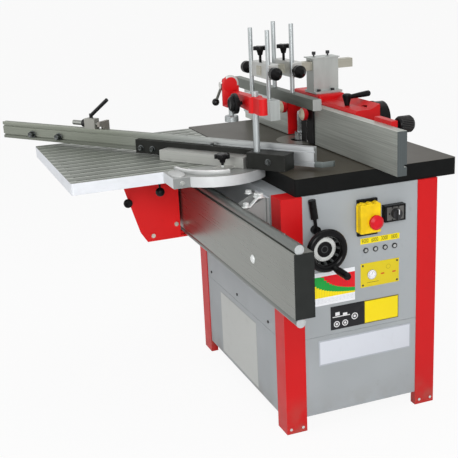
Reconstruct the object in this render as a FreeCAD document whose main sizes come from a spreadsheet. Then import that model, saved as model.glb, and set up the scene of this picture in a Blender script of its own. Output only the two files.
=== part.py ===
import FreeCAD, Part
import os
import re
import Sketcher

Vector = FreeCAD.Vector
Rotation = FreeCAD.Rotation
Placement = FreeCAD.Placement

# Spindle moulder with sliding table, mitre fence, ring fence and top presser.
# Millimetres, +Z up, +X along the feed towards the control panel, +Y to the back.
# The origin is on the floor, under the middle of the whole outline.
# Places are measured from the middle of the cabinet, which lies at origin_x, origin_y.

DIMS = [
    # place of the cabinet in the part's frame
    ("origin_x", 15), ("origin_y", 296), ("overrun", 20),
    # cabinet posts and panels
    ("cab_hx", 410), ("cab_hy", 284), ("post_w", 74), ("post_t", 4), ("post_lip", 28),
    ("pan_rec", 3), ("pan_t", 2.5), ("pan_fl", 22), ("pan_low", 50), ("seam_z", 332), ("seam_gap", 1),
    ("pan_top", 815.5),
    # fasteners
    ("screw_r", 5), ("screw_h", 3), ("rivet_z", 18), ("rivet_in", 14), ("rivet_out", 58),
    ("front_screw_z", 359), ("screw_l_in", 118), ("front_screw_m", -17), ("screw_r_in", 140),
    ("beam_bolt_r", 9), ("beam_bolt_h", 5), ("beam_bolt_x", 504), ("beam_bolt_z", 678),
    ("beam_bolt_far", -560), ("top_bolt_x", 630), ("top_bolt_y", -374), ("top_bolt_r", 6),
    # main table and rings
    ("tab_x0", -645), ("tab_in", 8), ("tab_y0", -229), ("tab_y1", 361), ("tab_bot", 818),
    ("tab_top", 875), ("tab_plate", 14), ("tab_rim", 14), ("tab_soft", 10), ("rib_t", 14),
    ("rib_left", -396),
    ("rib_right", 180), ("ring_seat", 9), ("ring_r", 95), ("ring_ledge", 85), ("ring_gap", 0.3),
    ("ring_mid_r", 65), ("ring_lip_r", 58), ("ring_in_r", 42), ("ring_half", 4.5),
    # spindle
    ("spin_x", -160), ("spin_y", 60), ("spin_bot", 530), ("pull_seat_r", 14), ("pull_bot", 540),
    ("pull_top", 580), ("pull_flange_r", 48), ("pull_groove_r", 40), ("pull_rim", 6), ("pull_bed", 2),
    ("quill_bot", 590), ("quill_top", 790), ("quill_r", 55), ("journal_r", 20), ("fit_gap", 0.05),
    ("neck_r", 18), ("flange_bot", 872), ("flange_top", 878), ("flange_r", 26), ("arbor_r", 15),
    ("seat_r", 17), ("arbor_top", 965), ("thread_r", 9), ("thread_top", 985), ("spacer_r", 25),
    ("spacer_h", 9),
    ("nut_af", 24), ("nut_h", 16),
    # lift
    ("col_dx", 100), ("col_y", 150), ("col_r", 18), ("col_bot", 430), ("tie_h", 12), ("tie_w", 20),
    ("tie_end", 30), ("boss_r", 30), ("boss_bot", 610), ("boss_top", 730), ("web_y0", 40),
    ("web_y1", 75), ("mot_dx", 220), ("mot_r", 80), ("mot_top", 800), ("mot_shaft_r", 14),
    ("mot_plate_t", 16), ("mot_bore_gap", 5), ("mot_plate_y", 70), ("mot_plate_end", 70),
    ("mot_cap_r", 62),
    ("mot_cap_h", 14), ("belt_bot", 554), ("belt_top", 566), ("belt_in_r", 40.4), ("belt_out_r", 46),
    ("rack_w", 18), ("rack_arm_bot", 630), ("rack_arm_top", 680), ("rack_back", 23), ("rack_low", 6),
    ("gear_mod", 3), ("gear_teeth", 16), ("rack_teeth", 18), ("pin_pitch_half", 2), ("pin_tip_half", 1),
    ("pin_root_half", 3), ("rack_tip_half", 1.1), ("rack_root_half", 3.4), ("gear_ded", 3.75),
    ("tooth_root", 0.6),
    # handwheel, crank and height lock
    ("hw_in", 113), ("hw_z", 662), ("hw_shaft_r", 9), ("hw_shaft_end", -190), ("hang_x", -110),
    ("hang_t", 20), ("hang_w", 40), ("hang_low", 20), ("hw_boss_r", 20), ("hw_boss_d", 12),
    ("hw_gap", 33), ("hw_hub_l", 36), ("hw_hub_r", 22), ("hw_rim_in", 60), ("hw_rim_r", 58),
    ("hw_tube_r", 12), ("hw_web_in", 18), ("hw_web_r", 46), ("hw_web_t", 6),
    ("dial_r", 40), ("dial_t", 9), ("dial_in_r", 25),
    ("dial_step", 3), ("crank_dy", 17.5), ("crank_dz", -55.3), ("crank_pin_r", 6), ("crank_neck", 10),
    ("crank_l", 95), ("crank_r", 12), ("crank_waist_r", 9), ("crank_mid", 36),
    ("lock_in", 116), ("lock_z", 706), ("lock_hub_r", 14), ("lock_hub_l", 21), ("lock_out", 16),
    ("lock_dy", -15), ("lock_dz", 106), ("lock_rod_r", 5.5), ("lock_rod_l", 46), ("lock_grip_r", 12),
    ("lock_grip_l", 62), ("lock_pin_r", 6),
    # switches and plates on the control panel
    ("sw_y0", -17), ("sw_y1", 55), ("sw_z0", 660), ("sw_z1", 782), ("sw_t", 10), ("sw_in_t", 25),
    ("sw_in_y0", -8), ("sw_in_y1", 44), ("sw_in_z0", 690), ("sw_in_z1", 752),
    ("lid_gap", 0.5), ("lid_l", 28.5), ("lid_y0", -22), ("lid_y1", 53), ("lid_z0", 674),
    ("lid_z1", 772), ("lid_t", 2.5), ("lid_soft", 5), ("lid_pin_r", 3), ("but_y", 30), ("but_z", 711),
    ("but_hole_r", 11.3),
    ("but_stem_r", 11), ("but_in", 6), ("but_neck", 3), ("but_wall", 9), ("but_cone", 6),
    ("but_r", 24), ("but_top_r", 15), ("sel_y0", 76), ("sel_y1", 152), ("sel_z0", 697), ("sel_z1", 752),
    ("sel_t", 23), ("knob_r", 17), ("sel_knob_l", 16), ("sel_bar_l", 24), ("sel_bar_w", 5),
    ("plate_t", 1), ("chart_in", 109), ("chart_y1", -24), ("chart_z0", 441), ("chart_z1", 556),
    ("meter_y0", -3), ("meter_y1", 142), ("meter_z0", 477), ("meter_z1", 561), ("meter_in", 8),
    ("disc_y", 38), ("disc_z", 519), ("disc_r", 15), ("disc_t", 3), ("meter_screw_r", 3.5),
    ("pict_y0", -115), ("pict_y1", 141), ("pict_z0", 347), ("pict_z1", 430),
    ("name_in", 123), ("name_out", 94), ("name_z0", 226), ("name_z1", 317),
    ("numb_y0", -3), ("numb_y1", 143), ("numb_z0", 628), ("numb_z1", 648),
    ("lamp_y", 16), ("lamp_pitch", 36), ("lamp_z", 606), ("lamp_r", 9), ("lamp_h", 5),
    # guide beam
    ("beam_x0", -700), ("beam_x1", 800), ("beam_y0", -420), ("beam_y1", -361), ("beam_z0", 588),
    ("beam_z1", 780), ("beam_soft", 4), ("beam_wall", 6), ("beam_web", 5), ("rod_y", -403),
    ("rod_r", 14),
    ("rod_top_z", 790), ("rod_low_z", 578), ("cap_t", 4), ("cap_in", 2),
    ("brk_in", 150), ("brk_half", 55), ("brk_t", 8), ("brk_z0", 690), ("brk_z1", 805),
    ("brk_front_z1", 772),
    ("brk_gus_in", 40), ("brk_bolt_r", 9), ("brk_bolt_h", 7), ("brk_bolt_dx", 28), ("brk_bolt_z", 790),
    ("brk_low_z", 712),
    # sliding table and its carriage
    ("sl_x0", -612), ("sl_x1", 72), ("sl_y0", -865), ("sl_y1", -234), ("sl_bot", 835), ("sl_plate", 12),
    ("sl_rim", 12), ("sl_rib_a", -640), ("sl_rib_b", -400), ("groove_w", 9), ("groove_d", 3),
    ("groove_n", 13), ("groove_in", 24), ("sl_soft", 8),
    ("car_x0", -403), ("car_x1", -197), ("car_t", 6), ("car_top_y0", -652), ("car_top_y1", -385),
    ("car_top_end", 9), ("car_out_y", -647), ("car_knee_y", -578), ("car_knee_z", 591),
    ("car_low_y", -554), ("car_low_z", 553), ("car_far_in", 80), ("car_lip_y", -390),
    ("car_lip_z", 561), ("car_in_y", -426),
    ("shoe_in", 7), ("shoe_l", 50), ("shoe_hw", 20), ("shoe_top_z", 798), ("shoe_low_z", 572),
    ("slide_gap", 0.3), ("car_bolt_r", 8), ("car_bolt_ay", -442), ("car_bolt_az", 607),
    ("car_bolt_by", -533), ("car_bolt_bz", 575),
    ("ipin_x", -17), ("ipin_y", -546), ("ipin_r", 4), ("ipin_top", 868), ("ipin_ball_r", 16),
    ("ipin_ball_z", 784), ("ipin_boss_r", 11),
    # round segment and mitre fence
    ("piv_x", 60), ("piv_y", -370), ("mit_a", 36), ("seg_r", 180), ("seg_bot", 840), ("seg_wall", 12),
    ("seg_plate", 12), ("lug_x1", 186), ("lug_y0", -556), ("lug_y1", -500), ("slot_r0", 84),
    ("slot_r1", 97),
    ("slot_x", 125), ("slot_d", 9), ("lug_bolt_y", -528), ("lug_bolt_r", 8), ("lug_bolt_h", 5),
    ("mb_u0", -214), ("mb_u1", 131), ("mb_n0", -24), ("mb_n1", 47), ("mb_z0", 876), ("mb_z1", 912),
    ("mb_pin_r", 8), ("mb_pin_z", 842), ("foot_u0", 45), ("foot_u1", 97), ("foot_n0", -82),
    ("foot_z1", 884), ("mk_u", 71), ("mk_n", -56), ("mk_stem_r", 5), ("mk_stem_z", 868),
    ("mf_u0", -1057), ("mf_u1", 356), ("mf_n1", 67), ("mf_z0", 885), ("mf_z1", 950), ("mf_slot", 6),
    ("mf_slot_d", 8), ("mf_slot_z0", 932), ("mf_slot_z1", 938), ("mf_low_z0", 896), ("mf_low_z1", 902),
    ("st_u0", -360), ("st_n0", 27), ("st_z0", 881), ("st_z1", 930), ("cb_u0", 140), ("cb_u1", 283),
    ("cb_n0", -16),
    ("post_u", 168), ("post_n", 6), ("post_r", 11), ("post_z0", 895), ("post_z1", 1128),
    ("star_r", 20), ("lobe_r", 8), ("lobe_at", 17), ("star_hub_r", 11),
    ("mk_hub_z", 886), ("mk_star_z", 898), ("mk_top_z", 912),
    # length stop on the mitre fence
    ("sb_u0", -614), ("sb_u1", -564), ("sb_n0", 43), ("sb_n1", 71), ("sb_z0", 950.3), ("sb_z1", 988),
    ("sb_key", 5), ("sb_key_z", 943), ("sa_r", 9), ("sa_u0", -679), ("sa_u1", -543), ("sa_z", 968),
    ("sa_ring_r", 15), ("sa_ring_u", -629), ("sa_ring_l", 14), ("fl_t", 12), ("fl_n0", 70),
    ("fl_n1", 104),
    ("fl_z0", 892), ("fl_half", 9), ("sl_post_r", 7), ("sl_post_h", 18), ("sl_arm_r", 7),
    ("sl_arm_l", 105),
    ("sl_arm_du", 50), ("sl_arm_dz", 37),
    # work clamp on the mitre fence
    ("arm_l", 222), ("arm_end", 62), ("arm_hw", 15), ("arm_z0", 1070), ("arm_z1", 1106),
    ("arm_boss_r", 23),
    ("arm_boss_z0", 1060), ("arm_boss_z1", 1112), ("head_hw", 23), ("head_z0", 1050), ("fork_hw", 9),
    ("fork_z0", 1092), ("set_screw_r", 5), ("set_screw_h", 4), ("set_screw_z", 1088),
    ("foot_r", 9), ("pad_r", 24), ("pad_z0", 998), ("pad_z1", 1018), ("pad_soft", 3),
    ("lev_z", 1125), ("cam_r", 18), ("cam_off", 7), ("cam_gap", 0.3), ("cam_side", 0.5),
    ("lev_pin_r", 6),
    ("lev_hub_r", 12), ("lev_hub_l", 14), ("lev_gap", 0.5),
    ("lev_dx", -70), ("lev_dz", -67), ("lev_rod_r", 5), ("lev_rod_l", 88), ("lev_ball_r", 13),
    ("ck_dx", -80), ("ck_z", 1082), ("ck_screw_r", 6), ("ck_hub_r", 11), ("ck_a", 8), ("ck_b", 20),
    ("ck_c", 34), ("ck_r", 34), ("ck_edge", 4),
    # fence hood and plates
    ("hood_y", 84), ("ha_x0", -275), ("ha_x1", -55), ("ha_y1", 192), ("ha_z0", 875.3), ("ha_z1", 1050),
    ("hood_soft", 9), ("hb_x1", 215), ("hb_y1", 180), ("hb_z0", 900), ("hb_z1", 1030), ("hb_rise", 16),
    ("hb_step", 60), ("hc_x0", -600), ("hc_y1", 130), ("hc_z1", 1000), ("ch_x0", -258), ("ch_x1", -72),
    ("ch_y0", 96), ("ch_y1", 180), ("ch_z1", 1036),
    ("ch_front_z", 960), ("duct_x1", 207), ("duct_y1", 168), ("duct_z0", 910), ("duct_z1", 1018),
    ("port_x", 160), ("port_z", 990), ("port_r", 55), ("port_in_r", 46), ("port_l", 42),
    ("port_fl_r", 58),
    ("port_fl_t", 6),
    ("lp_x0", -700), ("lp_x1", -261), ("lp_cap", 6), ("fp_y0", 50), ("fp_y1", 83.7), ("fp_z0", 878),
    ("fp_z1", 1018),
    ("rp_x0", -25), ("rp_x1", 545), ("fs_x0", 346), ("fs_x1", 452), ("fs_y1", 106), ("fs_z0", 960),
    ("fs_z1", 1032), ("fp_groove", 8), ("fp_groove_d", 10), ("fp_groove_z", 905),
    ("ak_x", 440), ("ak_z", 1016), ("ak_stem_r", 8), ("ak_neck", 6), ("ak_low", 14), ("ak_high", 50),
    ("ak_l", 57), ("ak_r", 27), ("ak_waist_r", 22),
    ("cg_x0", -128), ("cg_x1", -28), ("cg_y0", 45), ("cg_z1", 1010), ("cg_slot_x", -78),
    ("cg_slot_hw", 4),
    ("cg_slot_z0", 884), ("cg_slot_z1", 989), ("gk_z", 984), ("gk_stud_r", 3.5), ("gk_r", 23),
    ("gk_l", 27), ("gk_dome", 8), ("gk_cap_r", 13), ("gk_neck", 6), ("gk_neck_r", 15),
    ("pk_x", -272), ("pk_slot", 27), ("hl_x", 95), ("hl_y", 118), ("hl_r", 12), ("hl_h", 38),
    ("hl_arm_r", 7), ("hl_arm_l", 74), ("hl_arm_z", 26), ("hl_dy", 72), ("hl_dz", 14),
    # upright and top presser
    ("up_x0", -155), ("up_x1", -95), ("up_y0", 84), ("up_y1", 184), ("up_z0", 1058), ("up_z1", 1176),
    ("up_t", 3), ("up_fl", 16), ("up_cap_t", 4), ("up_cap_f", 8), ("up_cap_s", 4), ("up_screw_r", 3),
    ("up_screw_h", 8), ("up_head_r", 7), ("up_head_h", 11), ("up_screw_a", 100), ("up_screw_b", 156),
    ("up_nut_h", 8),
    ("pa_hw", 17), ("pa_z0", 1134), ("pa_z1", 1166), ("pa_y0", -121), ("pa_y1", 250), ("pa_gap", 0.5),
    ("pb_hl", 88), ("pb_front", 2), ("pb_back", 34), ("pb_knob_y", 4), ("pb_soft", 4), ("pb_z0", 1125),
    ("pb_z1", 1178), ("pb_back_y", -24), ("pb_front_y", -115),
    ("pr_dx", 78), ("pr_r", 8), ("pr_back_top", 1312), ("pr_front_top", 1296),
    ("bar_x0", -590), ("bar_x1", 150), ("bar_hw", 16), ("bar_z0", 1034), ("bar_z1", 1072),
    ("bar_soft", 2), ("shoe_x0", -250), ("shoe_x1", 5), ("shoe_w", 18), ("shoe_z0", 988),
    ("shoe_z1", 1058), ("ps_stem_r", 5), ("ps_stem_h", 26), ("ps_hub_h", 18), ("ps_star_h", 14),
    ("rk_neck_r", 9), ("rk_neck_l", 18), ("rk_r", 22), ("rk_l", 46), ("rk_edge", 12), ("rk_z", 1150),
]
# Places that follow from the sizes above: the controls keep to the control panel
FOLLOW = [
    ("skin_x", "cab_hx - pan_rec"),
    ("hw_y", "hw_in - cab_hy"),
    ("hw_boss_in", "skin_x - hw_boss_d"),
    ("hw_x0", "skin_x + hw_gap"),
    ("hw_x1", "hw_x0 + hw_hub_l"),
    ("hw_rim_x", "hw_x0 + hw_rim_in"),
    ("lock_y", "lock_in - cab_hy"),
    ("lock_x", "skin_x + lock_out"),
    ("lid_x0", "skin_x + sw_t + lid_gap"),
    ("lid_x1", "lid_x0 + lid_l"),
    ("sel_x1", "skin_x + sel_t"),
    ("chart_y0", "chart_in - cab_hy"),
    ("name_y0", "name_in - cab_hy"),
    ("name_y1", "cab_hy - name_out"),
    ("tab_x1", "cab_hx - tab_in"),
    ("front_screw_l", "screw_l_in - cab_hx"),
    ("front_screw_r", "cab_hx - screw_r_in"),
    ("brk_x", "cab_hx - brk_in"),
    ("foot_top", "lev_z - cam_off - cam_r - cam_gap"),
    ("port_y1", "hb_y1 + port_l"),
]
NAMES = {name for name, value in DIMS + FOLLOW}
LOBES = 5
SPACERS = 3

doc = FreeCAD.newDocument("SpindleMoulder")
sheet = doc.addObject("Spreadsheet::Sheet", "D")
for row, (name, value) in enumerate(DIMS + FOLLOW, 1):
    sheet.set("A%d" % row, name)
    sheet.setAlias("B%d" % row, name)
    sheet.set("B%d" % row, "=" + value if isinstance(value, str) else "%g" % value)
doc.recompute()


def ex(text):
    """Expression on the sheet's values, from an expression in plain names."""
    return re.sub(r"[a-z_]\w*", lambda m: "D." + m.group() if m.group() in NAMES else m.group(), text)


def num(text):
    value = sheet.evalExpression(text)
    return float(getattr(value, "Value", value))


def bind(obj, path, text):
    obj.setExpression(path, ex(text))


# A place on the mitre turns with it: u along the fence, n square to it, from the pivot.
MITRE = "mitre"
TURN = {
    "Z": Rotation(),
    "X": Rotation(Vector(0, 1, 0), 90),
    "-X": Rotation(Vector(0, 1, 0), -90),
    "Y": Rotation(Vector(1, 0, 0), -90),
    "-Y": Rotation(Vector(1, 0, 0), 90),
}


def mitre_x(u, n):
    return "piv_x + (%s) * cos(mit_a) - (%s) * sin(mit_a)" % (u, n)


def mitre_y(u, n):
    return "piv_y + (%s) * sin(mit_a) + (%s) * cos(mit_a)" % (u, n)


def place(obj, x, y, z, frame=None, turn=None):
    spin = turn or Rotation()
    if frame == MITRE:
        spin = Rotation(Vector(0, 0, 1), num("mit_a")).multiply(spin)
        x, y = mitre_x(x, y), mitre_y(x, y)
    obj.Placement = Placement(Vector(), spin)
    if frame == MITRE and turn is None:
        bind(obj, "Placement.Rotation.Angle", "mit_a")
    bind(obj, "Placement.Base.x", "origin_x + (%s)" % x)
    bind(obj, "Placement.Base.y", "origin_y + (%s)" % y)
    bind(obj, "Placement.Base.z", z)
    return obj


def block(x0, x1, y0, y1, z0, z1, frame=None):
    obj = doc.addObject("Part::Box", "Block")
    bind(obj, "Length", "(%s) - (%s)" % (x1, x0))
    bind(obj, "Width", "(%s) - (%s)" % (y1, y0))
    bind(obj, "Height", "(%s) - (%s)" % (z1, z0))
    return place(obj, x0, y0, z0, frame)


def round_bar(x, y, z, radius, length, axis="Z", frame=None, turn=None):
    obj = doc.addObject("Part::Cylinder", "Round")
    bind(obj, "Radius", radius)
    bind(obj, "Height", length)
    if turn is None and axis != "Z":
        turn = TURN[axis]
    return place(obj, x, y, z, frame, turn)


def ball(x, y, z, radius):
    obj = doc.addObject("Part::Sphere", "Ball")
    bind(obj, "Radius", radius)
    return place(obj, x, y, z)


def origin_plane(body, role):
    return [item for item in body.Origin.OriginFeatures if item.Role == role][0]


def outline(body, role, points):
    """Closed straight-sided sketch: each corner is placed by expressions."""
    sketch = body.newObject("Sketcher::SketchObject", "Outline")
    sketch.AttachmentSupport = [(origin_plane(body, role), "")]
    sketch.MapMode = "FlatFace"
    corners = [Vector(num(a), num(b), 0) for a, b in points]
    count = len(corners)
    for i in range(count):
        sketch.addGeometry(Part.LineSegment(corners[i], corners[(i + 1) % count]), False)
    for i in range(count):
        sketch.addConstraint(Sketcher.Constraint("Coincident", i, 2, (i + 1) % count, 1))
    for i, (a, b) in enumerate(points):
        k = sketch.addConstraint(Sketcher.Constraint("DistanceX", -1, 1, i, 1, corners[i].x))
        bind(sketch, "Constraints[%d]" % k, a)
        k = sketch.addConstraint(Sketcher.Constraint("DistanceY", -1, 1, i, 1, corners[i].y))
        bind(sketch, "Constraints[%d]" % k, b)
    return sketch


def pad(body, sketch, length, reverse=False):
    feature = body.newObject("PartDesign::Pad", "Pad")
    feature.Profile = sketch
    feature.Reversed = reverse
    bind(feature, "Length", length)
    return feature


def prism(axis, points, start, length, frame=None):
    """Padded outline along X, Y or Z; points lie in the other two directions."""
    body = doc.addObject("PartDesign::Body", "Prism")
    role = {"X": "YZ_Plane", "Y": "XZ_Plane", "Z": "XY_Plane"}[axis]
    pad(body, outline(body, role, points), length, axis == "Y")
    at = {"X": (start, "0", "0"), "Y": ("0", start, "0"), "Z": ("0", "0", start)}[axis]
    return place(body, at[0], at[1], at[2], frame)


def turned(points, x, y, z, axis="Z", frame=None):
    """Revolved outline: points are radius and height along the axis."""
    body = doc.addObject("PartDesign::Body", "Turned")
    sketch = outline(body, "XZ_Plane", points)
    feature = body.newObject("PartDesign::Revolution", "Revolution")
    feature.Profile = sketch
    feature.ReferenceAxis = (sketch, ["V_Axis"])
    feature.Angle = 360
    return place(body, x, y, z, frame, TURN[axis] if axis != "Z" else None)


def fuse(*shapes):
    obj = doc.addObject("Part::MultiFuse", "Fuse")
    obj.Shapes = list(shapes)
    obj.Refine = True
    return obj


def cut(base, *tools):
    obj = doc.addObject("Part::Cut", "Cut")
    obj.Base = base
    obj.Tool = tools[0] if len(tools) == 1 else fuse(*tools)
    obj.Refine = True
    return obj


def common(a, b):
    obj = doc.addObject("Part::Common", "Common")
    obj.Base = a
    obj.Tool = b
    return obj


def group(*shapes):
    obj = doc.addObject("Part::Compound", "Group")
    obj.Links = list(shapes)
    return obj


def softened(kind, obj, size, picked):
    """Rounded or bevelled copy: picked says which edges."""
    doc.recompute()
    made = doc.addObject("Part::" + kind, kind)
    made.Base = obj
    amount = num(size)
    made.Edges = [(i, amount, amount) for i, edge in enumerate(obj.Shape.Edges, 1) if picked(edge)]
    return made


def runs(edge, axis):
    """True for a straight edge along the axis."""
    if not isinstance(edge.Curve, (Part.Line, Part.LineSegment)):
        return False
    return abs(edge.tangentAt(edge.FirstParameter).dot(axis)) > 0.999


def mirror(source, normal):
    obj = doc.addObject("Part::Mirroring", "Mirror")
    obj.Source = source
    obj.Normal = normal
    bind(obj, "Base.x", "origin_x")
    bind(obj, "Base.y", "origin_y")
    return obj


NODES = []


def node(label, obj):
    obj.Label = label
    NODES.append(obj)
    return obj


# Corner posts: folded angles with inward lips, closed at the top
hx, hy = "cab_hx", "-cab_hy"
post = fuse(prism("Z", [
    (hx, hy), (hx, hy + " + post_w"), (hx + " - post_lip", hy + " + post_w"),
    (hx + " - post_lip", hy + " + post_w - post_t"), (hx + " - post_t", hy + " + post_w - post_t"),
    (hx + " - post_t", hy + " + post_t"), (hx + " - post_w + post_t", hy + " + post_t"),
    (hx + " - post_w + post_t", hy + " + post_lip"), (hx + " - post_w", hy + " + post_lip"),
    (hx + " - post_w", hy),
], "0", "tab_bot"), block(hx + " - post_w", hx, hy, hy + " + post_w", "tab_bot - post_t", "tab_bot"))
post_b = mirror(post, Vector(1, 0, 0))
node("corner_posts", group(post, post_b, mirror(post, Vector(0, 1, 0)), mirror(post_b, Vector(0, 1, 0))))


# Sheet panels: pans whose side flanges lie against the post lips
def pan(facing, side, z0, z1):
    half = "(cab_hx - post_w)" if facing == "Y" else "(cab_hy - post_w)"
    reach = "cab_hy" if facing == "Y" else "cab_hx"
    if side < 0:
        skin = ("-%s + pan_rec" % reach, "-%s + pan_rec + pan_t" % reach)
        depth = (skin[0], "-%s + pan_rec + pan_fl" % reach)
    else:
        skin = ("%s - pan_rec - pan_t" % reach, "%s - pan_rec" % reach)
        depth = ("%s - pan_rec - pan_fl" % reach, skin[1])
    walls = [
        ("-" + half, half, skin, z0, z1),
        ("-" + half, "-%s + pan_t" % half, depth, z0, z1),
        (half + " - pan_t", half, depth, z0, z1),
        ("-" + half, half, depth, z0, z0 + " + pan_t"),
        ("-" + half, half, depth, z1 + " - pan_t", z1),
    ]
    made = []
    for a0, a1, d, b0, b1 in walls:
        if facing == "Y":
            made.append(block(a0, a1, d[0], d[1], b0, b1))
        else:
            made.append(block(d[0], d[1], a0, a1, b0, b1))
    return made


cover = block("-(cab_hx - post_w)", "cab_hx - post_w", "-cab_hy + pan_rec", "tab_y0 + tab_rim",
              "pan_top", "tab_bot")
node("front_panel", fuse(cover, *pan("Y", -1, "seam_z + seam_gap", "pan_top")))
shaft_boss = round_bar("hw_boss_in", "hw_y", "hw_z", "hw_boss_r", "skin_x - hw_boss_in", "X")
shaft_hole = round_bar("hw_boss_in - overrun", "hw_y", "hw_z", "hw_shaft_r + fit_gap", "3 * overrun",
                       "X")
lock_hole = round_bar("hw_boss_in - overrun", "lock_y", "lock_z", "lock_pin_r + fit_gap", "3 * overrun",
                      "X")
node("control_panel", cut(fuse(shaft_boss, *pan("X", 1, "seam_z + seam_gap", "tab_bot")),
                          shaft_hole, lock_hole))
node("side_panels", group(
    fuse(*pan("Y", -1, "pan_low", "seam_z")), fuse(*pan("X", 1, "pan_low", "seam_z")),
    fuse(*pan("X", -1, "pan_low", "tab_bot")), fuse(*pan("Y", 1, "pan_low", "tab_bot"))))

# Screws, rivets and bolts of the cabinet and beam
heads = []
for at in ("front_screw_l", "front_screw_m", "front_screw_r"):
    heads.append(round_bar(at, "-cab_hy + pan_rec", "front_screw_z", "screw_r", "screw_h", "-Y"))
for at in ("-cab_hy + rivet_in", "-cab_hy + rivet_out", "cab_hy - rivet_out", "cab_hy - rivet_in"):
    heads.append(round_bar("cab_hx", at, "rivet_z", "screw_r", "screw_h", "X"))
for at_y in ("meter_y0 + meter_in", "meter_y1 - meter_in"):
    for at_z in ("meter_z0 + meter_in", "meter_z1 - meter_in"):
        heads.append(round_bar("skin_x + plate_t", at_y, at_z, "meter_screw_r", "plate_t", "X"))
for at in ("beam_bolt_x", "beam_bolt_far"):
    heads.append(round_bar(at, "beam_y0", "beam_bolt_z", "beam_bolt_r", "beam_bolt_h", "-Y"))
heads.append(round_bar("top_bolt_x", "top_bolt_y", "beam_z1", "top_bolt_r", "beam_bolt_h"))
node("fasteners", group(*heads))

# Cast main table, ribbed below, with a stepped opening round the spindle
slab = softened("Fillet", block("tab_x0", "tab_x1", "tab_y0", "tab_y1", "tab_bot", "tab_top"),
                "tab_soft",
                lambda e: runs(e, Vector(0, 0, 1)))
under = block("tab_x0 + tab_rim", "tab_x1 - tab_rim", "tab_y0 + tab_rim", "tab_y1 - tab_rim",
              "tab_bot - overrun", "tab_top - tab_plate")
ribs = [block(at, at + " + rib_t", "tab_y0 + tab_rim", "tab_y1 - tab_rim", "tab_bot",
              "tab_top - tab_plate")
        for at in ("rib_left", "rib_right")]
well = round_bar("spin_x", "spin_y", "tab_top - tab_plate - overrun", "ring_ledge",
                 "2 * overrun + tab_plate")
seat = round_bar("spin_x", "spin_y", "tab_top - ring_seat", "ring_r + ring_gap", "ring_seat + overrun")
node("table_top", cut(fuse(cut(slab, under), *ribs), well, seat))
outer_ring = turned([
    ("ring_lip_r", "0"), ("ring_r", "0"), ("ring_r", "ring_seat"),
    ("ring_mid_r + ring_gap", "ring_seat"),
    ("ring_mid_r + ring_gap", "ring_half"), ("ring_lip_r", "ring_half")],
    "spin_x", "spin_y", "tab_top - ring_seat")
inner_ring = turned([
    ("ring_in_r", "0"), ("ring_mid_r", "0"), ("ring_mid_r", "ring_seat - ring_half"),
    ("ring_in_r", "ring_seat - ring_half")], "spin_x", "spin_y", "tab_top - ring_seat + ring_half")
node("table_rings", group(outer_ring, inner_ring))

# Guide beam: hollow extrusion with a steel rod let into its top and bottom
beam_l = "beam_x1 - beam_x0"
shell = softened("Fillet", block("beam_x0", "beam_x1", "beam_y0", "beam_y1", "beam_z0", "beam_z1"),
                 "beam_soft",
                 lambda e: runs(e, Vector(1, 0, 0)))
third = "(beam_z1 - beam_z0 - 2 * beam_wall - 2 * beam_web) / 3"
cells = []
for i in range(3):
    low = "beam_z0 + beam_wall + %d * (%s + beam_web)" % (i, third)
    cells.append(block("beam_x0 - overrun", "beam_x1 + overrun", "beam_y0 + beam_wall",
                       "beam_y1 - beam_wall",
                       low, low + " + " + third))
seats = [round_bar("beam_x0 - overrun", "rod_y", at, "rod_r", beam_l + " + 2 * overrun", "X")
         for at in ("rod_top_z", "rod_low_z")]
node("guide_beam", cut(shell, *(cells + seats)))
rods = [round_bar("beam_x0", "rod_y", at, "rod_r", beam_l, "X") for at in ("rod_top_z", "rod_low_z")]
caps = []
for at in ("beam_x1", "beam_x0 - cap_t"):
    plate = block(at, at + " + cap_t", "beam_y0", "beam_y1", "beam_z0 + cap_in", "beam_z1 - cap_in")
    caps.append(plate)
node("beam_rods_and_caps", group(*(rods + caps)))
brackets = []
for mid in ("brk_x", "-brk_x"):
    lo, hi = mid + " - brk_half", mid + " + brk_half"
    parts = [
        block(lo, hi, "-cab_hy + pan_rec - brk_t", "-cab_hy + pan_rec", "brk_z0", "brk_z1"),
        block(lo, hi, "beam_y1", "beam_y1 + brk_t", "brk_z0", "brk_front_z1"),
    ]
    for at in (mid + " - brk_gus_in - brk_t / 2", mid + " + brk_gus_in - brk_t / 2"):
        parts.append(prism("X", [
            ("beam_y1 + brk_t", "brk_z0"), ("-cab_hy + pan_rec - brk_t", "brk_z0"),
            ("-cab_hy + pan_rec - brk_t", "brk_z1"), ("beam_y1 + brk_t", "brk_front_z1")], at, "brk_t"))
    for dx in (" - brk_bolt_dx", " + brk_bolt_dx"):
        for at_z in ("brk_bolt_z", "brk_low_z"):
            parts.append(round_bar(mid + dx, "-cab_hy + pan_rec - brk_t", at_z, "brk_bolt_r",
                                   "brk_bolt_h", "-Y"))
    brackets.append(fuse(*parts))
node("beam_brackets", group(*brackets))

# Lift: two fixed columns under the table and a hanger for the handwheel shaft
col_h = "tab_top - tab_plate - col_bot"
columns = [round_bar("spin_x" + side, "col_y", "col_bot", "col_r", col_h) for side in (" - col_dx",
                                                                                       " + col_dx")]
tie = block("spin_x - col_dx - tie_end", "spin_x + col_dx + tie_end", "col_y - tie_w", "col_y + tie_w",
            "col_bot - tie_h", "col_bot")
hanger = cut(block("hang_x", "hang_x + hang_t", "hw_y - hang_w / 2", "hw_y + hang_w / 2",
                   "hw_z - hang_low", "tab_top - tab_plate"),
             round_bar("hang_x - overrun", "hw_y", "hw_z", "hw_shaft_r + fit_gap",
                       "hang_t + 2 * overrun", "X"))
node("lift_columns", group(fuse(tie, *columns), hanger))

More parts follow.
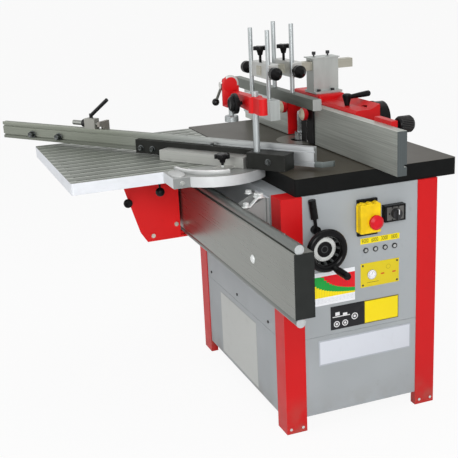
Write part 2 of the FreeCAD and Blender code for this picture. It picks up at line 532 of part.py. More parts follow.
# Quill carriage with its motor plate and the arm that carries the rack
quill = round_bar("spin_x", "spin_y", "quill_bot", "quill_r", "quill_top - quill_bot")
web = block("spin_x - col_dx", "spin_x + col_dx", "spin_y + web_y0", "spin_y + web_y1", "boss_bot",
            "boss_top")
bosses = [round_bar("spin_x" + side, "col_y", "boss_bot", "boss_r", "boss_top - boss_bot")
          for side in (" - col_dx", " + col_dx")]
mot_x = "spin_x + mot_dx"
mot_plate = block("spin_x", mot_x + " + mot_plate_end", "spin_y - mot_plate_y", "spin_y + mot_plate_y",
                  "quill_bot", "quill_bot + mot_plate_t")
pitch_y = "hw_y + gear_mod * gear_teeth / 2"
rack_y0 = pitch_y + " + gear_ded"
rack_arm = block("spin_x - rack_w", "spin_x + rack_w", rack_y0 + " + rack_back", "spin_y",
                 "rack_arm_bot", "rack_arm_top")
bores = [round_bar("spin_x" + side, "col_y", "boss_bot - overrun", "col_r + fit_gap",
                   "boss_top - boss_bot + 2 * overrun") for side in (" - col_dx", " + col_dx")]
spindle_bore = round_bar("spin_x", "spin_y", "quill_bot - overrun", "journal_r + fit_gap",
                         "quill_top - quill_bot + 2 * overrun")
motor_bore = round_bar(mot_x, "spin_y", "quill_bot - overrun", "mot_shaft_r + mot_bore_gap",
                       "mot_plate_t + 2 * overrun")
carriage = cut(fuse(quill, web, mot_plate, rack_arm, *bosses), spindle_bore, motor_bore, *bores)

# Rack: one tooth repeated along the bar
rack = doc.addObject("PartDesign::Body", "Rack")
tooth_pitch = "pi * gear_mod"
rack_l = "rack_teeth * %s" % tooth_pitch
pad(rack, outline(rack, "XY_Plane", [
    ("-rack_w", rack_y0), ("rack_w", rack_y0), ("rack_w", rack_y0 + " + rack_back"),
    ("-rack_w", rack_y0 + " + rack_back")]), rack_l)
first = tooth_pitch + " / 2"
tooth_sketch = outline(rack, "YZ_Plane", [
    (rack_y0 + " + tooth_root", first + " - rack_root_half"),
    (pitch_y + " - gear_mod", first + " - rack_tip_half"),
    (pitch_y + " - gear_mod", first + " + rack_tip_half"),
    (rack_y0 + " + tooth_root", first + " + rack_root_half")])
tooth = rack.newObject("PartDesign::Pad", "Tooth")
tooth.Profile = tooth_sketch
tooth.Midplane = True
bind(tooth, "Length", "2 * rack_w")
teeth = rack.newObject("PartDesign::LinearPattern", "Teeth")
teeth.Originals = [tooth]
teeth.Direction = (rack.Origin.OriginFeatures[2], [""])
bind(teeth, "Length", "(rack_teeth - 1) * %s" % tooth_pitch)
bind(teeth, "Occurrences", "rack_teeth")
rack.Tip = teeth
# a gap between two teeth lies level with the handwheel shaft
place(rack, "spin_x", "0", "hw_z - rack_low * %s" % tooth_pitch)
node("quill_carriage", group(carriage, rack))

# Motor, pulleys and belt
body = round_bar(mot_x, "spin_y", "quill_bot + mot_plate_t", "mot_r",
                 "mot_top - quill_bot - mot_plate_t")
hat = round_bar(mot_x, "spin_y", "mot_top", "mot_cap_r", "mot_cap_h")
node("motor", fuse(body, hat))


def pulley(x, bore):
    top = "pull_top - pull_bot"
    return turned([
        (bore, "0"), ("pull_flange_r", "0"), ("pull_flange_r", "pull_rim"),
        ("pull_groove_r", "belt_bot - pull_bot - pull_bed"),
        ("pull_groove_r", "belt_top - pull_bot + pull_bed"),
        ("pull_flange_r", top + " - pull_rim"), ("pull_flange_r", top), (bore, top)],
        x, "spin_y", "pull_bot")


node("spindle_pulley", pulley("spin_x", "pull_seat_r"))
motor_shaft = round_bar(mot_x, "spin_y", "pull_bot", "mot_shaft_r",
                        "quill_bot + mot_plate_t - pull_bot - ring_gap")
node("motor_pulley", fuse(pulley(mot_x, "mot_shaft_r"), motor_shaft))


def loop(radius, low, high):
    ends = [round_bar(x, "spin_y", low, radius, "(%s) - (%s)" % (high, low)) for x in ("spin_x", mot_x)]
    return fuse(block("spin_x", mot_x, "spin_y - " + radius, "spin_y + " + radius, low, high), *ends)


node("drive_belt", cut(loop("belt_out_r", "belt_bot", "belt_top"),
                       loop("belt_in_r", "belt_bot - overrun", "belt_top + overrun")))

# Spindle, its spacer rings and nut
ring_top = "flange_top + %d * spacer_h - spin_bot" % SPACERS
node("spindle_shaft", turned([
    ("0", "0"), ("pull_seat_r", "0"), ("pull_seat_r", "pull_top - spin_bot"),
    ("journal_r", "pull_top - spin_bot"),
    ("journal_r", "quill_top - spin_bot"), ("neck_r", "quill_top - spin_bot"),
    ("neck_r", "flange_bot - spin_bot"),
    ("flange_r", "flange_bot - spin_bot"), ("flange_r", "flange_top - spin_bot"),
    ("seat_r", "flange_top - spin_bot"), ("seat_r", ring_top), ("arbor_r", ring_top),
    ("arbor_r", "arbor_top - spin_bot"), ("thread_r", "arbor_top - spin_bot"),
    ("thread_r", "thread_top - spin_bot"),
    ("0", "thread_top - spin_bot")], "spin_x", "spin_y", "spin_bot"))
stack = []
for i in range(SPACERS):
    stack.append(turned([("seat_r", "0"), ("spacer_r", "0"), ("spacer_r", "spacer_h"),
                         ("seat_r", "spacer_h")],
                        "spin_x", "spin_y", "flange_top + %d * spacer_h" % i))
hexagon = doc.addObject("Part::Prism", "Hexagon")
hexagon.Polygon = 6
bind(hexagon, "Circumradius", "nut_af / sqrt(3)")
bind(hexagon, "Height", "nut_h")
place(hexagon, "spin_x", "spin_y", "arbor_top")
nut = cut(hexagon, round_bar("spin_x", "spin_y", "arbor_top - overrun", "thread_r",
                             "nut_h + 2 * overrun"))
node("arbor_rings", group(nut, *stack))

# Dished handwheel, dial, shaft with pinion, and crank handle
rim = doc.addObject("Part::Torus", "Rim")
bind(rim, "Radius1", "hw_rim_r")
bind(rim, "Radius2", "hw_tube_r")
place(rim, "hw_rim_x", "hw_y", "hw_z", None, TURN["X"])
hub = round_bar("hw_x0", "hw_y", "hw_z", "hw_hub_r", "hw_x1 - hw_x0", "X")
dish = turned([
    ("hw_shaft_r", "hw_web_in"), ("hw_web_r", "hw_web_in"), ("hw_rim_r", "hw_rim_in - hw_web_t / 2"),
    ("hw_rim_r", "hw_rim_in + hw_web_t / 2"), ("hw_web_r - hw_web_t / 2", "hw_web_in + hw_web_t"),
    ("hw_shaft_r", "hw_web_in + hw_web_t")], "hw_x0", "hw_y", "hw_z", "X")
wheel = cut(fuse(rim, hub, dish),
            round_bar("hw_x0 - overrun", "hw_y", "hw_z", "hw_shaft_r", "hw_x1 - hw_x0 + 2 * overrun",
                      "X"))
dial = turned([("0", "0"), ("dial_r", "0"), ("dial_r", "dial_t - dial_step"), ("dial_in_r", "dial_t"),
               ("0", "dial_t")],
              "hw_x1", "hw_y", "hw_z", "X")
node("handwheel", group(wheel, dial))
pinion = doc.addObject("PartDesign::Body", "Pinion")
root_r = "(gear_mod * gear_teeth / 2 - gear_ded)"
disc = pinion.newObject("Sketcher::SketchObject", "Disc")
disc.AttachmentSupport = [(origin_plane(pinion, "YZ_Plane"), "")]
disc.MapMode = "FlatFace"
disc.addGeometry(Part.Circle(Vector(), Vector(0, 0, 1), num(root_r)), False)
disc.addConstraint(Sketcher.Constraint("Coincident", 0, 3, -1, 1))
bind(disc, "Constraints[%d]" % disc.addConstraint(Sketcher.Constraint("Radius", 0, num(root_r))), root_r)
core = pad(pinion, disc, "2 * rack_w")
pin_sketch = outline(pinion, "YZ_Plane", [
    (root_r + " - tooth_root", "-pin_root_half"), ("gear_mod * gear_teeth / 2", "-pin_pitch_half"),
    ("gear_mod * (gear_teeth / 2 + 1)", "-pin_tip_half"),
    ("gear_mod * (gear_teeth / 2 + 1)", "pin_tip_half"),
    ("gear_mod * gear_teeth / 2", "pin_pitch_half"), (root_r + " - tooth_root", "pin_root_half")])
pin_tooth = pad(pinion, pin_sketch, "2 * rack_w")
pin_teeth = pinion.newObject("PartDesign::PolarPattern", "Teeth")
pin_teeth.Originals = [pin_tooth]
pin_teeth.Axis = (pinion.Origin.OriginFeatures[0], [""])
pin_teeth.Angle = 360
bind(pin_teeth, "Occurrences", "gear_teeth")
pinion.Tip = pin_teeth
place(pinion, "spin_x - rack_w", "hw_y", "hw_z")
node("handwheel_shaft", fuse(
    pinion, round_bar("hw_shaft_end", "hw_y", "hw_z", "hw_shaft_r", "hw_x1 - hw_shaft_end", "X")))
node("crank_handle", turned([
    ("0", "0"), ("crank_pin_r", "0"), ("crank_pin_r", "crank_neck"), ("crank_waist_r", "crank_neck"),
    ("crank_r", "crank_mid"), ("crank_r", "crank_l - crank_pin_r"), ("crank_waist_r", "crank_l"),
    ("0", "crank_l")],
    "hw_rim_x + hw_tube_r", "hw_y + crank_dy", "hw_z + crank_dz", "X"))

# Height lock: lever on a short pin through the control panel
lean = Rotation(Vector(0, 0, 1), Vector(0, num("lock_dy"), num("lock_dz")))
long = "sqrt(lock_dy ^ 2 + lock_dz ^ 2)"
node("lock_lever", fuse(
    round_bar("skin_x", "lock_y", "lock_z", "lock_hub_r", "lock_hub_l", "X"),
    round_bar("hw_boss_in", "lock_y", "lock_z", "lock_pin_r", "skin_x - hw_boss_in", "X"),
    round_bar("lock_x", "lock_y", "lock_z", "lock_rod_r", "lock_rod_l", turn=lean),
    round_bar("lock_x", "lock_y + lock_dy * (lock_rod_l - lock_rod_r) / %s" % long,
              "lock_z + lock_dz * (lock_rod_l - lock_rod_r) / %s" % long, "lock_grip_r", "lock_grip_l",
              turn=lean)))

# Switch box with lid and stop button, selector, lamps and plates
sw_base = fuse(block("skin_x", "skin_x + sw_t", "sw_y0", "sw_y1", "sw_z0", "sw_z1"),
               block("skin_x", "skin_x + sw_in_t", "sw_in_y0", "sw_in_y1", "sw_in_z0", "sw_in_z1"))
sel_base = block("skin_x", "sel_x1", "sel_y0", "sel_y1", "sel_z0", "sel_z1")
node("switch_boxes", group(sw_base, sel_base))
lid_hollow = block("lid_x0 - overrun", "lid_x1 - lid_t", "lid_y0 + lid_t", "lid_y1 - lid_t",
                   "lid_z0 + lid_t", "lid_z1 - lid_t")
lid_hole = round_bar("lid_x0", "but_y", "but_z", "but_hole_r", "lid_x1 - lid_x0 + overrun", "X")
lid_block = block("lid_x0", "lid_x1", "lid_y0", "lid_y1", "lid_z0", "lid_z1")
lid_front = num("origin_x + lid_x1")
lid_shell = softened("Fillet", lid_block, "lid_soft",
                     lambda e: runs(e, Vector(1, 0,
                                              0)) or min(v.X for v in e.Vertexes) > lid_front - num("lid_t"))
lid_pin = round_bar("lid_x0 + lid_pin_r", "lid_y0", "lid_z0 + lid_soft", "lid_pin_r",
                    "lid_z1 - lid_z0 - 2 * lid_soft")
node("switch_lid", fuse(cut(lid_shell, lid_hollow, lid_hole), lid_pin))
wall_x = "but_in + but_neck"
cone_x = wall_x + " + but_wall"
top_x = cone_x + " + but_cone"
node("stop_button", turned([
    ("0", "0"), ("but_stem_r", "0"), ("but_stem_r", wall_x), ("but_r", wall_x), ("but_r", cone_x),
    ("but_top_r", top_x), ("0", top_x)], "lid_x1 - but_in", "but_y", "but_z", "X"))
sel_y, sel_z = "(sel_y0 + sel_y1) / 2", "(sel_z0 + sel_z1) / 2"
node("selector_knob", fuse(
    round_bar("sel_x1", sel_y, sel_z, "knob_r", "sel_knob_l", "X"),
    block("sel_x1", "sel_x1 + sel_bar_l", sel_y + " - sel_bar_w", sel_y + " + sel_bar_w",
          sel_z + " - knob_r", sel_z + " + knob_r")))
plates = [block("skin_x", "skin_x + plate_t", p + "_y0", p + "_y1", p + "_z0", p + "_z1")
          for p in ("chart", "meter", "pict", "name", "numb")]
plates.append(round_bar("skin_x + plate_t", "disc_y", "disc_z", "disc_r", "disc_t", "X"))
for i in range(4):
    plates.append(round_bar("skin_x", "lamp_y + %d * lamp_pitch" % i, "lamp_z", "lamp_r", "lamp_h", "X"))
node("panel_plates", group(*plates))

# Sliding table: grooved plate with rim and cross ribs
sl_slab = softened("Fillet", block("sl_x0", "sl_x1", "sl_y0", "sl_y1", "sl_bot", "tab_top"), "sl_soft",
                   lambda e: runs(e, Vector(0, 0, 1)))
sl_under = block("sl_x0 + sl_rim", "sl_x1 - 2 * sl_rim", "sl_y0 + sl_rim", "sl_y1 - sl_rim",
                 "sl_bot - overrun", "tab_top - sl_plate")
sl_ribs = [block("sl_x0 + sl_rim", "sl_x1 - sl_rim", at, at + " + sl_rim", "sl_bot",
                 "tab_top - sl_plate")
           for at in ("sl_rib_a", "sl_rib_b")]
step = "(sl_x1 - sl_x0 - 2 * groove_in - groove_w) / (groove_n - 1)"
grooves = []
for i in range(int(num("groove_n"))):
    at = "sl_x0 + groove_in + %d * %s" % (i, step)
    grooves.append(block(at, at + " + groove_w", "sl_y0 + groove_in", "sl_y1 - groove_in",
                         "tab_top - groove_d", "tab_top + overrun"))
pivot_hole = round_bar("piv_x", "piv_y", "sl_bot - overrun", "mb_pin_r + fit_gap",
                       "tab_top - sl_bot + 2 * overrun")
ipin_hole = round_bar("ipin_x", "ipin_y", "sl_bot - overrun", "ipin_r + fit_gap",
                      "ipin_top - sl_bot + overrun + screw_h")
ipin_boss = round_bar("ipin_x", "ipin_y", "sl_bot", "ipin_boss_r", "tab_top - sl_plate - sl_bot")
node("sliding_table", cut(fuse(cut(sl_slab, sl_under), ipin_boss, *sl_ribs), pivot_hole, ipin_hole,
                          *grooves))

# Carriage: red side plates, top plate and the shoes that ride on the beam's rods
car_parts = [block("car_x0 - car_top_end", "car_x1 + car_top_end", "car_top_y0", "car_top_y1",
                   "sl_bot - car_t", "sl_bot")]
top_z = "sl_bot - car_t"
for at, near in (("car_x0", " + car_far_in"), ("car_x1 - car_t", "")):
    car_parts.append(prism("X", [
        ("car_out_y" + near, top_z), ("car_knee_y" + near, "car_knee_z"),
        ("car_low_y" + near, "car_low_z"),
        ("car_lip_y", "car_low_z"), ("car_lip_y", "car_lip_z"), ("car_in_y", "car_lip_z"),
        ("car_in_y", top_z)],
        at, "car_t"))
car_parts.append(block("car_x0", "car_x1", "car_low_y + car_far_in", "car_low_y + car_far_in + car_t",
                       "car_lip_z", top_z))
car_parts.append(block("car_x0", "car_x1", "car_in_y", "rod_y + shoe_hw", "car_low_z", "car_lip_z"))
for at in ("car_x0 + shoe_in + car_t", "car_x1 - car_t - shoe_in - shoe_l"):
    car_parts.append(block(at, at + " + shoe_l", "rod_y - shoe_hw", "rod_y + shoe_hw", "shoe_top_z",
                           top_z))
    car_parts.append(block(at, at + " + shoe_l", "rod_y - shoe_hw", "rod_y + shoe_hw", "car_lip_z",
                           "shoe_low_z"))
for pair in ("a", "b"):
    car_parts.append(round_bar("car_x1", "car_bolt_%sy" % pair, "car_bolt_%sz" % pair, "car_bolt_r",
                               "car_t", "X"))
ways = [round_bar("car_x0", "rod_y", at, "rod_r + slide_gap", "car_x1 - car_x0", "X")
        for at in ("rod_top_z", "rod_low_z")]
node("carriage_bracket", cut(fuse(*car_parts), *ways))
node("index_pin", fuse(
    round_bar("ipin_x", "ipin_y", "ipin_ball_z", "ipin_r", "ipin_top - ipin_ball_z"),
    ball("ipin_x", "ipin_y", "ipin_ball_z", "ipin_ball_r")))

# Round segment at the end of the sliding table, with the arc slot of the swivel
drum = round_bar("piv_x", "piv_y", "seg_bot", "seg_r", "tab_top - seg_bot")
window = block("sl_x1", "piv_x + seg_r + overrun", "lug_y0 - overrun", "sl_y1", "seg_bot", "tab_top")
lug = block("sl_x1", "lug_x1", "lug_y0", "lug_y1", "seg_bot", "tab_top")
hollow = common(round_bar("piv_x", "piv_y", "seg_bot - overrun", "seg_r - seg_wall",
                          "tab_top - seg_plate - seg_bot + overrun"),
                block("sl_x1 + seg_wall", "piv_x + seg_r", "lug_y0", "sl_y1 - seg_wall",
                      "seg_bot - overrun", "tab_top - seg_plate"))
arc = cut(round_bar("piv_x", "piv_y", "tab_top - slot_d", "slot_r1", "slot_d + overrun"),
          round_bar("piv_x", "piv_y", "tab_top - slot_d - overrun", "slot_r0", "slot_d + 3 * overrun"))
slot = common(arc, block("slot_x", "piv_x + seg_r", "piv_y - seg_r", "piv_y + seg_r",
                         "tab_top - slot_d - overrun", "tab_top + overrun"))
lug_bolt = round_bar("lug_x1", "lug_bolt_y", "(seg_bot + tab_top) / 2", "lug_bolt_r", "lug_bolt_h", "X")
node("mitre_segment", cut(fuse(common(drum, window), lug, lug_bolt), hollow, slot))

# Swivelling mitre: body, fence, strip with post block, knob
mb = [block("mb_u0", "mb_u1", "mb_n0", "mb_n1", "mb_z0", "mb_z1", MITRE),
      block("foot_u0", "foot_u1", "foot_n0", "mb_n0", "mb_z0", "foot_z1", MITRE),
      round_bar("0", "0", "mb_pin_z", "mb_pin_r", "mb_z0 - mb_pin_z", frame=MITRE)]
knob_hole = round_bar("mk_u", "mk_n", "mb_z0 - overrun", "mk_stem_r + fit_gap",
                      "foot_z1 - mb_z0 + 2 * overrun",
                      frame=MITRE)
node("mitre_body", cut(fuse(*mb), knob_hole))
mid_n = "(mb_n1 + mf_n1) / 2"
node("mitre_fence", prism("X", [
    ("mb_n1", "mf_z0"), ("mf_n1", "mf_z0"), ("mf_n1", "mf_z1"), (mid_n + " + mf_slot / 2", "mf_z1"),
    (mid_n + " + mf_slot / 2", "mf_z1 - mf_slot_d"), (mid_n + " - mf_slot / 2", "mf_z1 - mf_slot_d"),
    (mid_n + " - mf_slot / 2", "mf_z1"), ("mb_n1", "mf_z1"), ("mb_n1", "mf_slot_z1"),
    ("mb_n1 + mf_slot", "mf_slot_z1"), ("mb_n1 + mf_slot", "mf_slot_z0"), ("mb_n1", "mf_slot_z0"),
    ("mb_n1", "mf_low_z1"), ("mb_n1 + mf_slot", "mf_low_z1"), ("mb_n1 + mf_slot", "mf_low_z0"),
    ("mb_n1", "mf_low_z0")], "mf_u0", "mf_u1 - mf_u0", MITRE))
node("clamp_strip", cut(
    fuse(block("st_u0", "cb_u0", "st_n0", "mb_n1", "mb_z1", "st_z1", MITRE),
         block("st_u0", "mb_u0", "st_n0", "mb_n1", "st_z0", "mb_z1", MITRE),
         block("cb_u0", "cb_u1", "cb_n0", "mb_n1", "mb_z0", "st_z1", MITRE)),
    round_bar("post_u", "post_n", "post_z0", "post_r", "st_z1 - post_z0 + overrun", frame=MITRE)))
node("clamp_post", round_bar("post_u", "post_n", "post_z0", "post_r", "post_z1 - post_z0", frame=MITRE))


def star(x, y, z_stem, z_hub, z_star, z_top, stem_r, frame=None):
    """Star knob standing on its stem."""
    parts = [round_bar(x, y, z_stem, stem_r, "(%s) - (%s)" % (z_top, z_stem), frame=frame),
             round_bar(x, y, z_hub, "star_hub_r", "(%s) - (%s)" % (z_top, z_hub), frame=frame),
             round_bar(x, y, z_star, "star_r", "(%s) - (%s)" % (z_top, z_star), frame=frame)]
    for i in range(LOBES):
        turn = "%d * 360 / %d" % (i, LOBES)
        parts.append(round_bar("%s + lobe_at * cos(%s)" % (x, turn),
                               "%s + lobe_at * sin(%s)" % (y, turn), z_star,
                               "lobe_r", "(%s) - (%s)" % (z_top, z_star), frame=frame))
    return fuse(*parts)


node("mitre_knob", star("mk_u", "mk_n", "mk_stem_z", "mk_hub_z", "mk_star_z", "mk_top_z", "mk_stem_r",
                        MITRE))

# Length stop: body on the fence, swinging arm with its flap, clamp lever on the body
sb_mid = "(sb_u0 + sb_u1) / 2"
lever_turn = Rotation(Vector(0, 0, 1), Vector(num("sl_arm_du"), 0, num("sl_arm_dz")))
saddle = fuse(
    block("sb_u0", "sb_u1", "sb_n0", "sb_n1", "sb_z0", "sb_z1", MITRE),
    block("sb_u0", "sb_u1", mid_n + " - sb_key / 2", mid_n + " + sb_key / 2", "sb_key_z", "sb_z0",
          MITRE),
    round_bar(sb_mid, mid_n, "sb_z1", "sl_post_r", "sl_post_h", frame=MITRE),
    round_bar(sb_mid, mid_n, "sb_z1 + sl_post_h - sl_arm_r", "sl_arm_r", "sl_arm_l", frame=MITRE,
              turn=lever_turn))
node("stop_body", cut(saddle, round_bar("sb_u0 - overrun", mid_n, "sa_z", "sa_r + fit_gap",
                                        "sb_u1 - sb_u0 + 2 * overrun", "X", MITRE)))
node("stop_arm", fuse(
    round_bar("sa_u0", mid_n, "sa_z", "sa_r", "sa_u1 - sa_u0", "X", MITRE),
    round_bar("sa_ring_u", mid_n, "sa_z", "sa_ring_r", "sa_ring_l", "X", MITRE),
    block("sa_u1 - fl_t", "sa_u1", mid_n + " - fl_half", "fl_n1", "sa_z - fl_half", "sa_z + fl_half",
          MITRE),
    block("sa_u1 - fl_t", "sa_u1", "fl_n0", "fl_n1", "fl_z0", "sa_z", MITRE)))

# Work clamp: arm on the post, eccentric lever, knob and foot
px, py = mitre_x("post_u", "post_n"), mitre_y("post_u", "post_n")
bx, end_x = px + " - arm_l", px + " + arm_end"
arm = fuse(
    prism("Y", [(bx, "arm_z0"), (end_x, "arm_boss_z0"), (end_x, "arm_boss_z1"), (bx, "arm_z1")],
          py + " - arm_hw", "2 * arm_hw"),
    round_bar(px, py, "arm_boss_z0", "arm_boss_r", "arm_boss_z1 - arm_boss_z0"),
    round_bar(end_x, py, "arm_boss_z0", "arm_hw", "arm_boss_z1 - arm_boss_z0"),
    round_bar(px + " - arm_boss_r", py + " - arm_hw", "set_screw_z", "set_screw_r", "set_screw_h", "-Y"),
    block(bx + " - head_hw", bx + " + head_hw", py + " - head_hw", py + " + head_hw", "head_z0",
          "lev_z"),
    round_bar(bx, py + " - head_hw", "lev_z", "head_hw", "2 * head_hw", "Y"))
node("clamp_arm", cut(
    arm, round_bar(px, py, "arm_boss_z0 - overrun", "post_r + fit_gap",
                   "arm_boss_z1 - arm_boss_z0 + 2 * overrun"),
    round_bar(bx, py, "head_z0 - overrun", "foot_r + fit_gap", "fork_z0 - head_z0 + 2 * overrun"),
    block(bx + " - head_hw - overrun", bx + " + head_hw + overrun", py + " - fork_hw", py + " + fork_hw",
          "fork_z0", "lev_z + head_hw + overrun"),
    round_bar(bx, py + " + fork_hw", "lev_z", "lev_pin_r + fit_gap", "head_hw + overrun", "-Y"),
    round_bar(bx, py, "lev_z", "lev_pin_r + fit_gap", "head_hw + overrun", "-Y")))
hub_y = py + " - head_hw - lev_gap"
droop = Rotation(Vector(0, 0, 1), Vector(num("lev_dx"), 0, num("lev_dz")))
ball_y = hub_y + " - lev_hub_l / 2"
node("clamp_lever", fuse(
    round_bar(bx, py + " - fork_hw + cam_side", "lev_z - cam_off", "cam_r", "2 * (fork_hw - cam_side)",
              "Y"),
    round_bar(bx, py + " - fork_hw + 2 * cam_side", "lev_z", "lev_pin_r",
              "head_hw - fork_hw + 2 * cam_side + lev_gap", "-Y"),
    round_bar(bx, hub_y, "lev_z", "lev_hub_r", "lev_hub_l", "-Y"),
    round_bar(bx, ball_y, "lev_z", "lev_rod_r", "lev_rod_l", turn=droop),
    ball(bx + " + lev_dx", ball_y, "lev_z + lev_dz", "lev_ball_r")))
node("clamp_knob", turned([
    ("0", "0"), ("ck_screw_r", "0"), ("ck_screw_r", "ck_a"), ("ck_hub_r", "ck_a"), ("ck_hub_r", "ck_b"),
    ("ck_r", "ck_b"), ("ck_r", "ck_c - ck_edge"), ("ck_r - ck_edge", "ck_c"), ("0", "ck_c")],
    px + " + ck_dx", py + " - arm_hw", "ck_z", "-Y"))
node("clamp_foot", turned([
    ("0", "0"), ("pad_r", "0"), ("pad_r", "pad_z1 - pad_z0 - pad_soft"),
    ("pad_r - pad_soft", "pad_z1 - pad_z0"),
    ("foot_r", "pad_z1 - pad_z0"), ("foot_r", "foot_top - pad_z0"), ("0", "foot_top - pad_z0")], bx, py,
    "pad_z0"))

# Fence hood: hollow casting over the cutter with a duct in its wing
hood = fuse(
    softened("Fillet", block("ha_x0", "ha_x1", "hood_y", "ha_y1", "ha_z0", "ha_z1"), "hood_soft",
             lambda e: runs(e, Vector(0, 0, 1)) or min(v.Z for v in e.Vertexes) > num("ch_z1")),
    prism("X", [("hood_y", "hb_z0"), ("hb_y1", "hb_z0"), ("hb_y1", "hb_z1 + hb_rise"),
                ("hood_y + hb_step", "hb_z1"), ("hood_y + hood_soft", "hb_z1"),
                ("hood_y", "hb_z1 - hood_soft")], "ha_x1 - overrun", "hb_x1 - ha_x1 + overrun"),
    prism("X", [("hood_y", "hb_z0"), ("hc_y1", "hb_z0"), ("hc_y1", "hc_z1"),
                ("hood_y + hood_soft", "hc_z1"),
                ("hood_y", "hc_z1 - hood_soft")], "hc_x0", "ha_x0 - hc_x0 + overrun"))
node("fence_hood", cut(
    hood,
    block("ch_x0", "ch_x1", "ch_y0", "ch_y1", "ha_z0 - overrun", "ch_z1"),
    block("ch_x0", "ch_x1", "hood_y - overrun", "ch_y0", "ha_z0 - overrun", "ch_front_z"),
    block("ch_x1 - overrun", "duct_x1", "ch_y0", "duct_y1", "duct_z0", "duct_z1"),
    round_bar("port_x", "duct_y1 - overrun", "port_z", "port_in_r", "hb_y1 - duct_y1 + 2 * overrun",
              "Y")))
node("dust_port", turned([
    ("port_in_r", "0"), ("port_fl_r", "0"), ("port_fl_r", "port_fl_t"), ("port_r", "port_fl_t"),
    ("port_r", "port_y1 - hb_y1"), ("port_in_r", "port_y1 - hb_y1")], "port_x", "hb_y1", "port_z", "Y"))


def fence_plate(x0, x1, *holes):
    solid = block(x0, x1, "fp_y0", "fp_y1", "fp_z0", "fp_z1")
    groove = block(x0 + " - overrun", x1 + " + overrun", "fp_y1 - fp_groove_d", "fp_y1 + overrun",
                   "fp_groove_z", "fp_groove_z + fp_groove")
    return cut(solid, groove, *holes)


slot_l = [
    block("pk_x - pk_slot", "pk_x", "fp_y0 - overrun", "fp_y1 + overrun", "gk_z - cg_slot_hw",
          "gk_z + cg_slot_hw")]
for at in ("pk_x - pk_slot", "pk_x"):
    slot_l.append(round_bar(at, "fp_y0 - overrun", "gk_z", "cg_slot_hw", "fp_y1 - fp_y0 + 2 * overrun",
                            "Y"))
end_cap = block("lp_x1", "lp_x1 + lp_cap", "fp_y0", "fp_y1", "fp_z0", "fp_z1")
node("left_fence_plate", group(fence_plate("lp_x0", "lp_x1", *slot_l), end_cap))
slide_block = block("fs_x0", "fs_x1", "fp_y1", "fs_y1", "fs_z0", "fs_z1")
node("right_fence_plate", group(fence_plate("rp_x0", "rp_x1"), slide_block))
node("adjust_knob", turned([
    ("0", "0"), ("ak_stem_r", "0"), ("ak_stem_r", "ak_neck"), ("ak_waist_r", "ak_neck"),
    ("ak_r", "ak_low"), ("ak_r", "ak_high"), ("ak_waist_r", "ak_l"), ("0", "ak_l")],
    "ak_x", "fs_y1", "ak_z", "Y"))
node("cutter_guard", cut(
    block("cg_x0", "cg_x1", "cg_y0", "fp_y1", "fp_z0", "cg_z1"),
    block("cg_slot_x - cg_slot_hw", "cg_slot_x + cg_slot_hw", "cg_y0 - overrun", "fp_y1 + overrun",
          "cg_slot_z0", "cg_slot_z1")))


def hand_knob(x, face):
    """Round hand knob on a stud that reaches back to the hood."""
    reach = "hood_y - (%s)" % face
    return turned([
        ("0", "0"), ("gk_stud_r", "0"), ("gk_stud_r", reach + " + slide_gap"),
        ("gk_neck_r", reach + " + slide_gap"),
        ("gk_neck_r", reach + " + gk_neck"), ("gk_r", reach + " + gk_neck"),
        ("gk_r", reach + " + gk_l - gk_dome"),
        ("gk_cap_r", reach + " + gk_l"), ("0", reach + " + gk_l")], x, "hood_y", "gk_z", "-Y")


node("guard_knob", hand_knob("cg_slot_x", "cg_y0"))
node("plate_knob", hand_knob("pk_x", "fp_y0"))
rise = Rotation(Vector(0, 0, 1), Vector(0, num("hl_dy"), num("hl_dz")))
node("hood_lever", fuse(
    round_bar("hl_x", "hl_y", "hb_z1", "hl_r", "hl_h"),
    round_bar("hl_x", "hl_y", "hb_z1 + hl_arm_z", "hl_arm_r", "hl_arm_l", turn=rise)))

# Upright box with cap, flange, screws and nuts
up_mid = "(up_x0 + up_x1) / 2"
tube = cut(block("up_x0", "up_x1", "up_y0", "up_y1", "up_z0", "up_z1"),
           block("up_x0 + up_t", "up_x1 - up_t", "up_y0 + up_t", "up_y1 - up_t", "up_z0 - overrun",
                 "up_z1 + overrun"),
           block(up_mid + " - pa_hw - pa_gap", up_mid + " + pa_hw + pa_gap", "up_y0 - overrun",
                 "up_y1 + overrun",
                 "pa_z0 - pa_gap", "pa_z1 + pa_gap"))
flange = block("up_x0 - up_fl", "up_x1 + up_fl", "hood_y", "ha_y1", "ha_z1", "up_z0")
cap = block("up_x0 - up_cap_s", "up_x1 + up_cap_s", "up_y0 - up_cap_f", "up_y1 + up_cap_s",
            "up_z1", "up_z1 + up_cap_t")
bits = []
for at in ("up_screw_a", "up_screw_b"):
    bits.append(round_bar(up_mid, at, "up_z1 + up_cap_t", "up_screw_r", "up_screw_h"))
    bits.append(round_bar(up_mid, at, "up_z1 + up_cap_t + up_screw_h", "up_head_r", "up_head_h"))
    bits.append(round_bar("up_x1 + up_fl / 2", at, "up_z0", "up_head_r", "up_nut_h"))
    bits.append(round_bar("up_x0 - up_fl / 2", at, "up_z0", "up_head_r", "up_nut_h"))
node("upright_box", fuse(tube, flange, cap, *bits))

